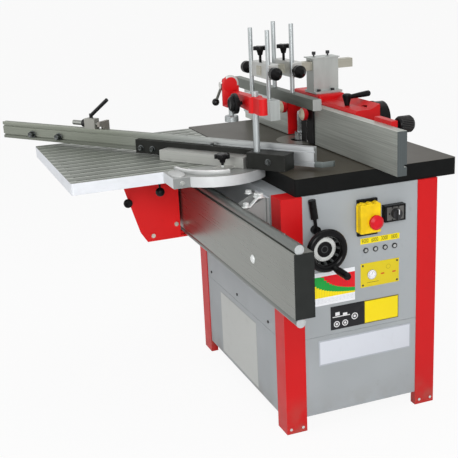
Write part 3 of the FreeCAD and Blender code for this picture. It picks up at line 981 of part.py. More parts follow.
# Presser arm with its two cross blocks
arm_bar = block(up_mid + " - pa_hw", up_mid + " + pa_hw", "pa_y0", "pa_y1", "pa_z0", "pa_z1")
cross = []
for at in ("pb_back_y", "pb_front_y"):
    solid = softened("Fillet", block(up_mid + " - pb_hl", up_mid + " + pb_hl", at + " - pb_front",
                                     at + " + pb_back",
                                     "pb_z0", "pb_z1"), "pb_soft", lambda e: runs(e, Vector(0, 1, 0)))
    holes = [round_bar(up_mid + side, at, "pb_z0 - overrun", "pr_r + fit_gap",
                       "pb_z1 - pb_z0 + 2 * overrun")
             for side in (" - pr_dx", " + pr_dx")]
    holes.append(block(up_mid + " - pa_hw", up_mid + " + pa_hw", at + " - pb_front - overrun",
                       at + " + pb_back + overrun", "pa_z0", "pa_z1"))
    cross.append(cut(solid, *holes))
node("presser_arm", group(arm_bar, *cross))


def rod_pair(y, low, high):
    return [round_bar(up_mid + side, y, low, "pr_r",
                      "(%s) - (%s)" % (high, low)) for side in (" - pr_dx", " + pr_dx")]


bar_y0, bar_y1 = "pb_back_y - bar_hw", "pb_back_y + bar_hw"
long_bar = softened("Fillet", block("bar_x0", "bar_x1", bar_y0, bar_y1, "bar_z0", "bar_z1"), "bar_soft",
                    lambda e: runs(e, Vector(1, 0, 0)))
node("back_presser", group(long_bar, *rod_pair("pb_back_y", "bar_z1", "pr_back_top")))
shoe = block("shoe_x0", "shoe_x1", "pb_front_y - shoe_w", "pb_front_y + shoe_w", "shoe_z0", "shoe_z1")
node("front_presser", group(shoe, *rod_pair("pb_front_y", "shoe_z1", "pr_front_top")))
for label, at in (("star_back", "pb_back_y"), ("star_front", "pb_front_y")):
    hub_z = "pb_z1 + ps_stem_h"
    node(label, star(up_mid, at + " + pb_knob_y", "pb_z1", hub_z, hub_z + " + ps_hub_h",
                     hub_z + " + ps_hub_h + ps_star_h", "ps_stem_r"))


def round_knob(x, y, axis):
    return turned([
        ("0", "0"), ("rk_neck_r", "0"), ("rk_neck_r", "rk_neck_l"), ("rk_r", "rk_neck_l + rk_edge"),
        ("rk_r", "rk_neck_l + rk_l - rk_edge"), ("rk_neck_r", "rk_neck_l + rk_l"),
        ("0", "rk_neck_l + rk_l")],
        x, y, "rk_z", axis)


node("knob_front_left", round_knob(up_mid + " - pb_hl", "pb_front_y + pb_knob_y", "-X"))
node("knob_front_right", round_knob(up_mid + " + pb_hl", "pb_front_y + pb_knob_y", "X"))
node("knob_back_right", round_knob(up_mid + " + pb_hl", "pb_back_y + pb_knob_y", "X"))

doc.recompute()
bad = [o.Label for o in doc.Objects if "Invalid" in o.State or "Error" in o.State]
for o in NODES:
    if o.Shape.isNull() or not o.Shape.isValid() or not o.Shape.Solids:
        bad.append(o.Label)
if bad:
    raise SystemExit("not built: %s" % ", ".join(bad))
os.makedirs("parts", exist_ok=True)
for o in NODES:
    o.Shape.exportStep("parts/%s.step" % o.Label)
print(len(NODES), "nodes")
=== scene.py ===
import math

import bmesh
import bpy
from mathutils import Matrix, Vector


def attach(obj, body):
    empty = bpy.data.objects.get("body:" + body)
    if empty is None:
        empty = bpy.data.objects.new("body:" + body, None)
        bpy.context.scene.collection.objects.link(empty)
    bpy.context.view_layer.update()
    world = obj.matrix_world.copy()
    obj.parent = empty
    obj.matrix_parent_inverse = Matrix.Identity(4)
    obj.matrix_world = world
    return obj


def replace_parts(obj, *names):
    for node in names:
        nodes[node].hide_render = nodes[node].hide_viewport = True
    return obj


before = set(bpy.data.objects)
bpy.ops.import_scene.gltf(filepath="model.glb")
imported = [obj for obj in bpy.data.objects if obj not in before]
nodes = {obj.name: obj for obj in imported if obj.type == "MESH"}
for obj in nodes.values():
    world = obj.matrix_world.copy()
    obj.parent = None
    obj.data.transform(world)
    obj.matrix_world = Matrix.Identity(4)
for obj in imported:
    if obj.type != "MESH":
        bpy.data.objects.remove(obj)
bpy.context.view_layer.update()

# Places are given in millimetres from the middle of the cabinet on the floor.
CABINET = Vector((15, 296, 0))
OUT, LEFT = Vector((1, 0, 0)), Vector((-1, 0, 0))
BACK, FRONT = Vector((0, 1, 0)), Vector((0, -1, 0))
UP = Vector((0, 0, 1))
PIVOT_X, PIVOT_Y = 60, -370
MITRE_ANGLE = math.radians(36)
ALONG_MITRE = Vector((math.cos(MITRE_ANGLE), math.sin(MITRE_ANGLE), 0))
FRONT_OF_MITRE = Vector((math.sin(MITRE_ANGLE), -math.cos(MITRE_ANGLE), 0))

# Outer faces of the cabinet; a mask starts a little inside the face that it paints
PANEL_SKIN, FRONT_SKIN, REAR_SKIN, LEFT_SKIN = 407, -281, 281, -407
MASK_LAP = 0.6


def at(x, y, z):
    """A place in the frame's metres."""
    return (CABINET + Vector((x, y, z))) / 1000


def on_mitre(along, across, z):
    """A place measured along and across the mitre fence from its pivot."""
    return at(PIVOT_X, PIVOT_Y, z) + (ALONG_MITRE * along - FRONT_OF_MITRE * across) / 1000


def mm(length):
    return length / 1000


def tone(red, green, blue, share=1.0):
    """A colour from its 0 to 255 values, made darker or lighter by a share."""
    channels = []
    for value in (red, green, blue):
        v = value / 255
        linear = v / 12.92 if v <= 0.04045 else ((v + 0.055) / 1.055) ** 2.4
        channels.append(min(1.0, linear * share))
    return (*channels, 1.0)


def math_method(operation, swapped=False):
    """A method that adds a Math node for a wire and a value, in this order or swapped."""
    def method(self, other=0.0):
        pair = (other, self) if swapped else (self, other)
        return self.math(operation, *pair)
    return method


class Wire:
    """A socket of one finish. Sums and products of wires and numbers add the Math nodes."""

    def __init__(self, tree, socket=None):
        self.tree = tree
        self.socket = socket

    def node(self, kind, settings, sockets, output=0):
        """Adds a node: its settings, then the values or wires of its sockets."""
        made = self.tree.nodes.new("ShaderNode" + kind)
        for name, value in settings.items():
            setattr(made, name, value)
        for name, value in sockets.items():
            if isinstance(value, Wire):
                self.tree.links.new(value.socket, made.inputs[name])
            else:
                made.inputs[name].default_value = value
        return Wire(self.tree, made.outputs[output] if made.outputs else None)

    def math(self, operation, first, second=0.0):
        return self.node("Math", {"operation": operation}, {0: first, 1: second})

    __add__ = __radd__ = math_method("ADD")
    __sub__ = math_method("SUBTRACT")
    __rsub__ = math_method("SUBTRACT", swapped=True)
    __mul__ = __rmul__ = math_method("MULTIPLY")
    __truediv__ = math_method("DIVIDE")
    __rtruediv__ = math_method("DIVIDE", swapped=True)
    __mod__ = math_method("FLOORED_MODULO")
    __pow__ = math_method("POWER")
    __gt__ = math_method("GREATER_THAN")
    __lt__ = math_method("LESS_THAN")
    __abs__ = math_method("ABSOLUTE")
    either = math_method("MAXIMUM")

    def within(self, low, high):
        return (self > low) * (self < high)

    def beyond(self, low, high):
        return (self < low).either(self > high)

    def ramp(self, low, high):
        """Rises softly from 0 at the low value to 1 at the high one."""
        return self.node("MapRange", {"interpolation_type": "SMOOTHSTEP"},
                         {"Value": self, "From Min": low, "From Max": high})

    def blend(self, under, over):
        """The over colour where this mask is 1 and the under colour where it is 0."""
        return self.node("Mix", {"data_type": "RGBA"}, {0: self, 6: under, 7: over}, 2)

    def between(self, under, over):
        """A value that goes from under to over as this mask rises."""
        if not isinstance(under, Wire) and under == over:
            return under
        return under + (over - under) * self


def any_of(masks):
    """A mask that is 1 where any of the masks is."""
    joined, *others = masks
    for mask in others:
        joined = joined.either(mask)
    return joined


class Surface:
    """What a finish is painted with: the place on the object, in metres and in millimetres."""

    def __init__(self, tree):
        self.start = Wire(tree)
        self.place = self.start.node("TexCoord", {}, {}, "Object")
        self.x = self.part("X") * 1000 - CABINET.x
        self.y = self.part("Y") * 1000 - CABINET.y
        self.z = self.part("Z") * 1000

    def part(self, axis):
        return self.start.node("SeparateXYZ", {}, {"Vector": self.place}, axis)

    def noise(self, scale, detail=2.0, stretch=None, turn=0.0):
        """Soft noise; a stretch makes streaks along the axis with the smallest number."""
        place = self.place
        if turn:
            place = self.start.node("VectorRotate", {"rotation_type": "Z_AXIS"},
                                    {"Vector": place, "Angle": -turn})
        if stretch:
            place = self.start.node("VectorMath", {"operation": "MULTIPLY"}, {0: place, 1: stretch})
        return self.start.node("TexNoise", {}, {"Vector": place, "Scale": scale, "Detail": detail})

    def edge_wear_and_highlight(self, radius):
        """A mask of the sharp edges, where hands and work rub, and where a painted highlight lightens some
        finishes' edges.
        """
        soft = self.start.node("Bevel", {"samples": 6}, {"Radius": mm(radius)})
        flat = self.start.node("NewGeometry", {}, {}, "Normal")
        dot = self.start.node("VectorMath", {"operation": "DOT_PRODUCT"}, {0: soft, 1: flat}, "Value")
        return (1 - dot).ramp(0.02, 0.25)

    def radius(self, first, second):
        """Distance from a line, by its two coordinates' offsets."""
        return (first * first + second * second) ** 0.5

    def turn(self, first, second):
        """Angle round a line in degrees, kept above zero, by its two coordinates' offsets."""
        return self.start.math("ARCTAN2", second, first) * (180 / math.pi) + 360


class Coat:
    """Colour, roughness, metal share and height of one finish, each a number or a wire."""

    def __init__(self, colour, roughness, metal, height):
        self.colour = colour
        self.roughness = roughness
        self.metal = metal
        self.height = height

    def under(self, mask, top):
        """This coat with another one on it where the mask is 1."""
        return Coat(mask.blend(self.colour, top.colour), mask.between(self.roughness, top.roughness),
                    mask.between(self.metal, top.metal), mask.between(self.height, top.height))

    def tint(self, mask, colour):
        """This coat with another colour where the mask is 1."""
        return Coat(mask.blend(self.colour, colour), self.roughness, self.metal, self.height)


def enamel(s, colour, gloss=0.34):
    """Sprayed and baked paint: cloudy tone, orange peel, worn edges, floor dust low down."""
    body = s.noise(2.4, 3).ramp(0.3, 0.7).blend(tone(*colour, 0.92), tone(*colour, 1.05))
    scuffs = s.noise(34, 6).ramp(0.62, 0.78) * 0.3
    body = scuffs.blend(body, tone(*colour, 0.72))
    worn = s.edge_wear_and_highlight(2.5) * s.noise(45, 3).ramp(0.42, 0.62) * 0.55
    body = worn.blend(body, tone(*colour, 1.5))
    dust = (1 - s.z.ramp(0, 150)) * s.noise(12, 4).ramp(0.35, 0.7) * 0.4
    body = dust.blend(body, tone(126, 116, 104))
    rough = gloss + s.noise(16, 4) * 0.16 + dust * 0.4
    return Coat(body, rough, 0.0, s.noise(420, 2) * 0.00003)


def metal(s, name, turn=0.0):
    """Drawn, planed or cast metal from the table: streaks, a few stains, and a painted highlight along its
    sharp edges.
    """
    colour, stretch, rough, share, lines = METALS[name]
    streaks = s.noise(1, 4, stretch, turn)
    body = streaks.ramp(0.32, 0.68).blend(tone(*colour, 1 - lines), tone(*colour, 1 + lines))
    body = (s.noise(5, 4).ramp(0.55, 0.75) * 0.22).blend(body, tone(*colour, 0.72))
    # Painted highlight: the sharp edges are made paler as if they caught the light.
    edges = s.edge_wear_and_highlight(1.5) * 0.5
    body = edges.blend(body, tone(*colour, 1.7))
    return Coat(body, rough + streaks * 0.2, share, streaks * 0.00006)


def plated(s, colour, rough=0.2):
    """Turned or plated steel with faint smudges and a painted highlight along its sharp edges."""
    smudge = s.noise(9, 5).ramp(0.35, 0.75)
    body = smudge.blend(tone(*colour, 1.03), tone(*colour, 0.9))
    # Painted highlight: the sharp edges are made paler as if they caught the light.
    body = (s.edge_wear_and_highlight(1) * 0.4).blend(body, tone(*colour, 1.35))
    return Coat(body, rough + smudge * 0.1, 1.0, s.noise(160, 3) * 0.00001)


def moulded(s, colour, gloss=0.36):
    """Moulded plastic: fine grain, a painted highlight along its edges, patches polished by hands."""
    grain = s.noise(800, 2)
    hands = s.noise(26, 4).ramp(0.35, 0.7)
    body = hands.blend(tone(*colour, 0.88), tone(*colour, 1.12))
    # Painted highlight: the edges are made paler, standing in for the light rings they catch.
    body = (s.edge_wear_and_highlight(1.5) * 0.3).blend(body, tone(*colour, 2.4))
    return Coat(body, gloss + hands * 0.2, 0.0, grain * 0.00004)


def ground_iron(s, colour, share=0.35):
    """A ground cast-iron top: fine swirls of the wheel, oil stains, a little bloom."""
    swirl = s.noise(1, 5, (90, 900, 90))
    stain = s.noise(3.2, 5)
    body = swirl.ramp(0.3, 0.7).blend(tone(*colour, 0.86), tone(*colour, 1.14))
    body = (stain.ramp(0.5, 0.72) * 0.5).blend(body, tone(*colour, 0.7))
    body = (s.noise(9, 6).ramp(0.62, 0.74) * 0.35).blend(body, tone(122, 112, 96))
    return Coat(body, 0.28 + stain * 0.2, share, swirl * 0.00003)


def dull_black(s, colour, rough=0.5):
    """Blackened or black-painted steel and iron, greyer where it is worn."""
    patch = s.noise(18, 5)
    body = patch.ramp(0.35, 0.7).blend(tone(*colour, 0.85), tone(*colour, 1.2))
    body = (s.edge_wear_and_highlight(2) * s.noise(60, 3).ramp(0.35, 0.6) * 0.6).blend(body, tone(112, 110, 108))
    return Coat(body, rough + patch * 0.16, 0.0, s.noise(240, 3) * 0.00005)


def printed(s, colour):
    """Printed sheet under clear film."""
    worn = s.noise(30, 5)
    body = (worn.ramp(0.58, 0.85) * 0.09).blend(colour, tone(118, 116, 110))
    return Coat(body, 0.3 + worn * 0.16, 0.0, s.noise(90, 2) * 0.00002)


PLAIN_SHINE, BLACK_SHINE = 0.25, 0.12


def empty_tree(owner):
    """The node tree of a material or world, emptied."""
    owner.use_nodes = True
    owner.node_tree.nodes.clear()
    return owner.node_tree


def finish(name, recipe, edge=0.8, shine=PLAIN_SHINE):
    """A material from a recipe that gives its coat; sharp edges are shaded round."""
    material = bpy.data.materials.new(name)
    surface = Surface(empty_tree(material))
    coat = recipe(surface)
    start = surface.start
    rounded = start.node("Bevel", {"samples": 4}, {"Radius": mm(edge)})
    normal = start.node("Bump", {}, {"Height": coat.height, "Distance": 1.0, "Normal": rounded})
    shader = start.node("BsdfPrincipled", {}, {
        "Base Color": coat.colour, "Roughness": coat.roughness, "Metallic": coat.metal, "Normal": normal,
        "Specular IOR Level": shine})
    start.node("OutputMaterial", {}, {"Surface": shader})
    return material


# Colours as they show under plain light
RED = (206, 18, 22)
PANEL_GREY = (166, 171, 174)
TABLE_BROWN = (68, 64, 55)
TABLE_BLACK = (15, 16, 16)
BLACK = (19, 19, 20)
MITRE_GREY = (126, 130, 120)
SILVER = (184, 185, 182)
STEEL = (176, 180, 182)
ZINC = (206, 208, 206)
PALE_ZINC = (226, 229, 228)
YELLOW = (246, 206, 20)
CREAM = (226, 216, 190)
WHITE = (232, 233, 234)

# How the streaks of a metal run; the last two give an even grain
ALONG_X = (3, 420, 420)
ALONG_Y = (420, 3, 420)
ALONG_Z = (420, 420, 3)
CAST_GRAIN = (60, 60, 60)
COARSE_GRAIN = (30, 30, 30)

# Metals: colour, how the streaks run, roughness, metal share, strength of the streaks
METALS = {
    "rod": ((168, 173, 174), ALONG_Z, 0.28, 0.85, 0.04),
    "casting": (SILVER, CAST_GRAIN, 0.38, 0.7, 0.06),
    "zinc": (PALE_ZINC, CAST_GRAIN, 0.28, 0.4, 0.05),
    "stud": (PALE_ZINC, CAST_GRAIN, 0.28, 0.4, 0.14),
    "beam": ((130, 132, 127), ALONG_X, 0.2, 0.92, 0.09),
    "beam_rod": ((112, 116, 113), ALONG_X, 0.3, 0.9, 0.05),
    # Cut rod ends: bright steel, made paler also as a painted highlight
    "rod_end": ((184, 188, 189), CAST_GRAIN, 0.3, 0.5, 0.06),
    "fence_face": ((172, 176, 170), ALONG_X, 0.36, 0.75, 0.16),
    "fence_end": ((86, 92, 93), ALONG_Z, 0.42, 0.7, 0.06),
    "mitre_fence": (MITRE_GREY, ALONG_X, 0.28, 0.85, 0.1),
    "mitre_arm": ((178, 179, 175), ALONG_X, 0.34, 0.75, 0.06),
    "nose": ((104, 111, 110), ALONG_X, 0.4, 0.4, 0.08),
    "segment_edge": ((206, 208, 209), COARSE_GRAIN, 0.42, 0.45, 0.04),
    "segment_top": ((158, 160, 158), CAST_GRAIN, 0.36, 0.6, 0.05),
    "rim_wall": ((186, 188, 187), COARSE_GRAIN, 0.4, 0.5, 0.05),
    "rim_top": ((222, 223, 223), CAST_GRAIN, 0.34, 0.5, 0.04),
    "slider_rib": ((128, 132, 125), ALONG_Y, 0.36, 0.7, 0.1),
    "slider_groove": ((62, 65, 60), ALONG_Y, 0.5, 0.4, 0.08),
    "slider_end": ((226, 229, 234), (24, 24, 70), 0.42, 0.25, 0.02),
    "back_bar": ((98, 103, 96), ALONG_X, 0.34, 0.7, 0.1),
    "back_bar_end": ((168, 171, 169), ALONG_Z, 0.3, 0.3, 0.06),
    "shoe": ((196, 201, 200), ALONG_Z, 0.36, 0.55, 0.05),
    "presser_bar": ((170, 168, 156), ALONG_Y, 0.34, 0.75, 0.07),
    "tube": ((176, 180, 177), (40, 40, 12), 0.42, 0.6, 0.05),
    "selector_face": ((104, 103, 101), ALONG_Y, 0.4, 0.5, 0.06),
    "stop_block": ((150, 150, 144), ALONG_Z, 0.4, 0.7, 0.06),
    "stop_flap": ((142, 138, 132), ALONG_Z, 0.4, 0.6, 0.06),
}


def red_paint(s):
    return enamel(s, RED)


BRACKET_TOP = 805


def bracket_paint(s):
    """Grey brackets with zinc bolt heads on their wall plates; the top plate is painted near white as
    painted light, to lift the shade that the table casts on it.
    """
    middle_x, middle_z, wall_y = 260, 751, -289.2
    bolt_x, bolt_z, bolt_r, bolt_tall = 28, 39, 9.3, 7.8
    beside = abs(abs(abs(s.x) - middle_x) - bolt_x)
    level = abs(abs(s.z - middle_z) - bolt_z)
    heads = (s.radius(beside, level) < bolt_r) * s.y.within(wall_y - bolt_tall, wall_y)
    # Painted light: a near-white grey on the top plate stands in for light where the table shades it.
    top_plate_painted_light = enamel(s, (214, 216, 221), 0.42)
    plates = enamel(s, (150, 152, 151), 0.42).under(s.z > BRACKET_TOP - MASK_LAP, top_plate_painted_light)
    return plates.under(heads, plated(s, ZINC, 0.26))


def carriage_paint(s):
    """Red plates with pale bolt heads on the outer one; the red is painted brighter than the posts' red as
    painted light, where the table shades the plates.
    """
    face_x, bolt_r, bolts = -196.7, 8.3, ((-442, 607), (-533, 575))
    heads = any_of(s.radius(s.y - y, s.z - z) < bolt_r for y, z in bolts) * (s.x > face_x)
    # Painted light: a brighter copy of the posts' red, to lift the table's shade on the plates.
    return enamel(s, (226, 24, 26)).under(heads, plated(s, (214, 208, 196), 0.3))


def black_knob(s):
    return moulded(s, (17, 17, 18), 0.2)


def table_iron(s):
    """A black casting with a ground top."""
    face_z = 874.4
    return dull_black(s, TABLE_BLACK, 0.42).under(s.z > face_z, ground_iron(s, TABLE_BROWN, 0.06))


def beam_rods(s):
    """Drawn rods with bright cut ends, and black end caps beyond the beam; the cut ends' pale tone is bright
    steel and also a painted highlight.
    """
    left, right, lap, gap = -700, 800, 0.4, 0.2
    # The pale cut ends are bright steel, and also a painted highlight standing in for the light they catch.
    rods = metal(s, "beam_rod").under(s.x.beyond(left + lap, right - lap), metal(s, "rod_end"))
    return rods.under(s.x.beyond(left - gap, right + gap), moulded(s, (36, 38, 37), 0.5))


def fence_planed(s):
    """Planed plates with darker sawn ends."""
    left, right = -700, 545
    ends = s.x.beyond(left + MASK_LAP, right - MASK_LAP)
    return metal(s, "fence_face").under(ends, metal(s, "fence_end"))


def left_plate(s):
    cap_x = -260.9
    return fence_planed(s).under(s.x > cap_x, red_paint(s))


def right_plate(s):
    slide_y, lip_y, lip_z = 83.8, 83.5, 1018.3
    slide = (s.y > slide_y).either((s.z > lip_z) * (s.y > lip_y))
    return fence_planed(s).under(slide, red_paint(s))


def along_fence(s):
    """Distance along the mitre fence from its pivot."""
    return (s.x - PIVOT_X) * ALONG_MITRE.x + (s.y - PIVOT_Y) * ALONG_MITRE.y


def mitre_metal(s):
    """An extruded fence: a darker lower band, a painted highlight on its top lip, and a painted reflection
    that pales it along its length.
    """
    band_top, lip_z, painted_sheen_run, end = 899, 945, (-560, 330), -1056.4
    along = along_fence(s)
    body = metal(s, "mitre_fence", MITRE_ANGLE)
    body = body.tint((s.z < band_top) * 0.6, tone(*MITRE_GREY, 0.62))
    # Painted highlight: the top lip is made paler as if lit from above.
    body = body.tint((s.z > lip_z) * 0.5, tone(*MITRE_GREY, 1.4))
    # Painted reflection: the fence is made paler along its length, standing in for light it reflects.
    body = body.tint(along.ramp(*painted_sheen_run) * 0.7, tone(214, 217, 221))
    return body.tint((along < end) * 0.8, tone(64, 66, 60))


def segment_metal(s):
    """A pale casting with a turned rim and a degree scale cut along it."""
    face_z, scale_r, fine_mark, coarse_mark = 874.5, 177, 5, 9
    groove_r, groove_turn = (97.2, 101), (250, 375)
    lug_x, lug_y, lug_top = 180, -500, 874
    bolt_x, bolt_y, bolt_z, bolt_r = 186.3, -528, 857.5, 8.6
    dx, dy = s.x - PIVOT_X, s.y - PIVOT_Y
    out = s.radius(dx, dy)
    turn = s.turn(dx, dy)
    on_top = s.z > face_z
    body = metal(s, "segment_edge").under(on_top, metal(s, "segment_top"))
    groove = out.within(*groove_r) * turn.within(*groove_turn) * on_top
    body = body.tint(groove * 0.8, tone(232, 234, 236))
    lug = (s.x > lug_x) * (s.y < lug_y) * (s.z < lug_top)
    body = body.tint(lug * 0.8, tone(120, 123, 121))
    bolt_head = (s.radius(s.y - bolt_y, s.z - bolt_z) < bolt_r) * (s.x > bolt_x)
    body = body.under(bolt_head, plated(s, ZINC, 0.24))
    fine = ((turn % 1) < 0.16) * out.within(scale_r - fine_mark, scale_r)
    coarse = ((turn % 5) < 0.22) * out.within(scale_r - coarse_mark, scale_r)
    return body.under(fine.either(coarse) * on_top * 0.8, dull_black(s, (60, 58, 56)))


def ribbed_metal(s):
    """Planed ribs with darker grooves and bright sawn ends; each rib has a painted highlight line beside its
    groove and painted shade across its width.
    """
    ends_x, ends_y, ends_top, face_z = (-604, 60), (-857, -242), 874.2, 874.3
    first_x, pitch, bright, shade = -588, 52.25, (8.5, 15), (24, 52)
    lane = (s.x - first_x) % pitch
    # Painted highlight: a pale line beside each groove; painted shade: each rib darkens across its width
    # towards the next groove.
    tops = metal(s, "slider_rib").tint(lane.within(*bright) * 0.75, tone(214, 217, 210))
    tops = tops.tint(lane.ramp(*shade) * 0.4, tone(96, 100, 94))
    ends = s.x.beyond(*ends_x).either(s.y.beyond(*ends_y)) * (s.z < ends_top)
    return metal(s, "slider_groove").under(s.z > face_z, tops).under(ends, metal(s, "slider_end"))


def presser_bar(s):
    """A dark drawn bar with a pale sawn end, on two bright rods."""
    end_x, top_z = 149.4, 1072.3
    bar = metal(s, "back_bar").under(s.x > end_x, metal(s, "back_bar_end"))
    return bar.under(s.z > top_z, metal(s, "rod"))


def presser_shoe(s):
    top_z = 1058.3
    return metal(s, "shoe").under(s.z > top_z, metal(s, "rod"))


PRESSER_X, PRESSER_Z = -125, 1150


def presser_metal(s):
    """Cast cross blocks on a drawn square bar."""
    half_x, half_z = 17.5, 17
    bar = (abs(s.x - PRESSER_X) < half_x) * (abs(s.z - PRESSER_Z) < half_z)
    return metal(s, "casting").under(bar, metal(s, "presser_bar"))


def upright_metal(s):
    """A square tube with dark cap screws on its lid and on its foot."""
    wall_x, wall_y, foot_z, lid_z = (-155.6, -94.4), (83.4, 184.6), 1058.4, 1181
    beside = s.x.beyond(*wall_x).either(s.y.beyond(*wall_y))
    screws = (s.z > lid_z).either(beside * s.z.within(foot_z, PRESSER_Z))
    return metal(s, "tube").under(screws, dull_black(s, (44, 44, 46), 0.35))


WHEEL_Y, WHEEL_Z = -171, 662


def wheel_plastic(s):
    """A glossy black dished wheel with a pale dial ring and its division marks."""
    ring_x, ring_r, mark_r = 476.3, (25.6, 39.4), (35.5, 39)
    hub_x, hub_r = 484, (9, 12)
    dy, dz = s.y - WHEEL_Y, s.z - WHEEL_Z
    out = s.radius(dy, dz)
    ring = (s.x > ring_x) * out.within(*ring_r)
    marks = ((s.turn(dy, dz) % 9) < 1.3) * out.within(*mark_r) * ring
    dial_ring = moulded(s, (214, 216, 213), 0.3).under(marks, moulded(s, (58, 58, 60)))
    hub = out.within(*hub_r) * (s.x > hub_x) * 0.5
    return moulded(s, (15, 15, 16), 0.1).tint(hub, tone(92, 96, 96)).under(ring, dial_ring)


def capped_knob(front):
    """A red hand knob with a cream cap on its front."""
    def recipe(s):
        return moulded(s, (206, 22, 30), 0.26).under(s.y < front, moulded(s, CREAM, 0.28))
    return recipe


def clamp_lever_finish(s):
    """A bright lever with a black ball."""
    ball_x, ball_y, ball_r, ball_top = -100, -297, 19, 1076
    ball = (s.radius(s.x - ball_x, s.y - ball_y) < ball_r) * (s.z < ball_top)
    return plated(s, (190, 190, 186), 0.26).under(ball, black_knob(s))


def guard_finish(s):
    """Black guard with bright walls in its slot."""
    slot_x, slot_half, slot_top = -78, 4.2, 989.5
    slot = (abs(s.x - slot_x) < slot_half) * (s.z < slot_top)
    return dull_black(s, BLACK, 0.4).under(slot, plated(s, (220, 221, 222), 0.14))


SELECTOR_Y, SELECTOR_Z = 114, 724.5


def switch_plastic(s):
    """Black boxes; the selector has a pale face plate with marks round its knob."""
    face_x, half_y, half_z, mark_r = 429.5, 31, 22, (20, 25)
    dy, dz = s.y - SELECTOR_Y, s.z - SELECTOR_Z
    plate = (s.x > face_x) * (abs(dy) < half_y) * (abs(dz) < half_z)
    marks = (((s.turn(dy, dz) + 7) % 60) < 14) * s.radius(dy, dz).within(*mark_r)
    face = metal(s, "selector_face").under(marks, moulded(s, (40, 40, 42)))
    return black_knob(s).under(plate, face)


def selector_finish(s):
    """A dark knob with a white pointer on its bar."""
    bar_x, half, low = 446.4, 1.6, 1
    pointer = (s.x > bar_x) * (abs(s.y - SELECTOR_Y) < half) * (s.z > SELECTOR_Z + low)
    return moulded(s, (46, 46, 48), 0.3).under(pointer, moulded(s, WHITE))


def adjust_finish(s):
    """A black knob with knurled flutes round its rim."""
    middle_x, middle_z, rim_r, front_y, flute_turn, flute_deep = 440, 1016, 25, 108, 12, 0.0012
    dx, dz = s.x - middle_x, s.z - middle_z
    flute = abs((s.turn(dx, dz) % flute_turn) - flute_turn / 2) / (flute_turn / 2)
    rim = (s.radius(dx, dz) > rim_r) * (s.y > front_y)
    body = moulded(s, BLACK).tint(rim * flute.ramp(0.5, 0.9) * 0.4, tone(96, 94, 92))
    body.height = body.height + rim * flute * flute_deep
    return body


def small_black(s):
    return dull_black(s, (38, 38, 40), 0.36)


def fastener_finish(s):
    """Zinc bolts; the small panel screws are black."""
    front_y, front_top, panel_x = (-285, -280), 400, (407.5, 409.5)
    small = (s.y.within(*front_y) * (s.z < front_top)).either(s.x.within(*panel_x))
    return plated(s, ZINC).under(small, small_black(s))


def stop_finish(s):
    """A grey clamp block with a black lever."""
    lever_z = 990
    return metal(s, "stop_block").under(s.z > lever_z, black_knob(s))


def stop_arm_finish(s):
    """A bright bar with a black ring and a grey flap."""
    ring_run, flap_start = (-630, -614.5), -556
    along = along_fence(s)
    bar = plated(s, (140, 142, 138), 0.34).under(along > flap_start, metal(s, "stop_flap"))
    return bar.under(along.within(*ring_run), black_knob(s))


# Each finish: its recipe and the nodes that it dresses
FINISHES = {
    "red_enamel": (red_paint, "corner_posts fence_hood clamp_arm"),
    "carriage_enamel": (carriage_paint, "carriage_bracket"),
    "grey_enamel": (lambda s: enamel(s, PANEL_GREY, 0.4), "front_panel control_panel side_panels motor"),
    "bracket_enamel": (bracket_paint, "beam_brackets"),
    "black_plastic": (
        black_knob, "crank_handle lock_lever star_back star_front knob_front_left knob_front_right "
        "knob_back_right mitre_knob clamp_knob dust_port hood_lever index_pin"),
    "bright_steel": (
        lambda s: plated(s, STEEL), "lift_columns spindle_shaft arbor_rings spindle_pulley motor_pulley "
        "handwheel_shaft quill_carriage"),
    "rod_steel": (lambda s: metal(s, "rod"), "clamp_post clamp_foot"),
    "table_iron": (table_iron, "table_top"),
    "ring_iron": (lambda s: ground_iron(s, (128, 126, 118)), "table_rings"),
    "beam_aluminium": (lambda s: metal(s, "beam"), "guide_beam"),
    "rods_and_caps": (beam_rods, "beam_rods_and_caps"),
    "left_plate_planed": (left_plate, "left_fence_plate"),
    "right_plate_planed": (right_plate, "right_fence_plate"),
    "mitre_aluminium": (mitre_metal, "mitre_fence"),
    "mitre_casting": (lambda s: metal(s, "mitre_arm", MITRE_ANGLE), "mitre_body"),
    "segment_casting": (segment_metal, "mitre_segment"),
    "ribbed_aluminium": (ribbed_metal, "sliding_table"),
    "presser_bar_metal": (presser_bar, "back_presser"),
    "presser_shoe_metal": (presser_shoe, "front_presser"),
    "presser_block_metal": (presser_metal, "presser_arm"),
    "upright_tube": (upright_metal, "upright_box"),
    "wheel_plastic": (wheel_plastic, "handwheel"),
    "guard_knob_plastic": (capped_knob(front=25), "guard_knob"),
    "plate_knob_plastic": (capped_knob(front=30), "plate_knob"),
    "clamp_lever_steel": (clamp_lever_finish, "clamp_lever"),
    "guard_black": (guard_finish, "cutter_guard"),
    "switch_plastic": (switch_plastic, "switch_boxes"),
    "selector_plastic": (selector_finish, "selector_knob"),
    "knurled_plastic": (adjust_finish, "adjust_knob"),
    "fastener_steel": (fastener_finish, "fasteners"),
    "stop_body_steel": (stop_finish, "stop_body"),
    "stop_arm_steel": (stop_arm_finish, "stop_arm"),
    "belt_rubber": (lambda s: moulded(s, (30, 30, 30), 0.62), "drive_belt"),
    "blackened_steel": (lambda s: dull_black(s, (36, 37, 35), 0.42), "clamp_strip"),
    "lid_plastic": (lambda s: moulded(s, YELLOW, 0.3), "switch_lid"),
    "stop_plastic": (lambda s: moulded(s, (208, 18, 34), 0.24), "stop_button"),
}
BLACK_FINISHES = "black_plastic guard_black switch_plastic blackened_steel knurled_plastic wheel_plastic"
SHINE = dict.fromkeys(BLACK_FINISHES.split(), BLACK_SHINE)
SHINE.update(table_iron=0.1, rods_and_caps=0.14, belt_rubber=0.1)
made_finishes = {}
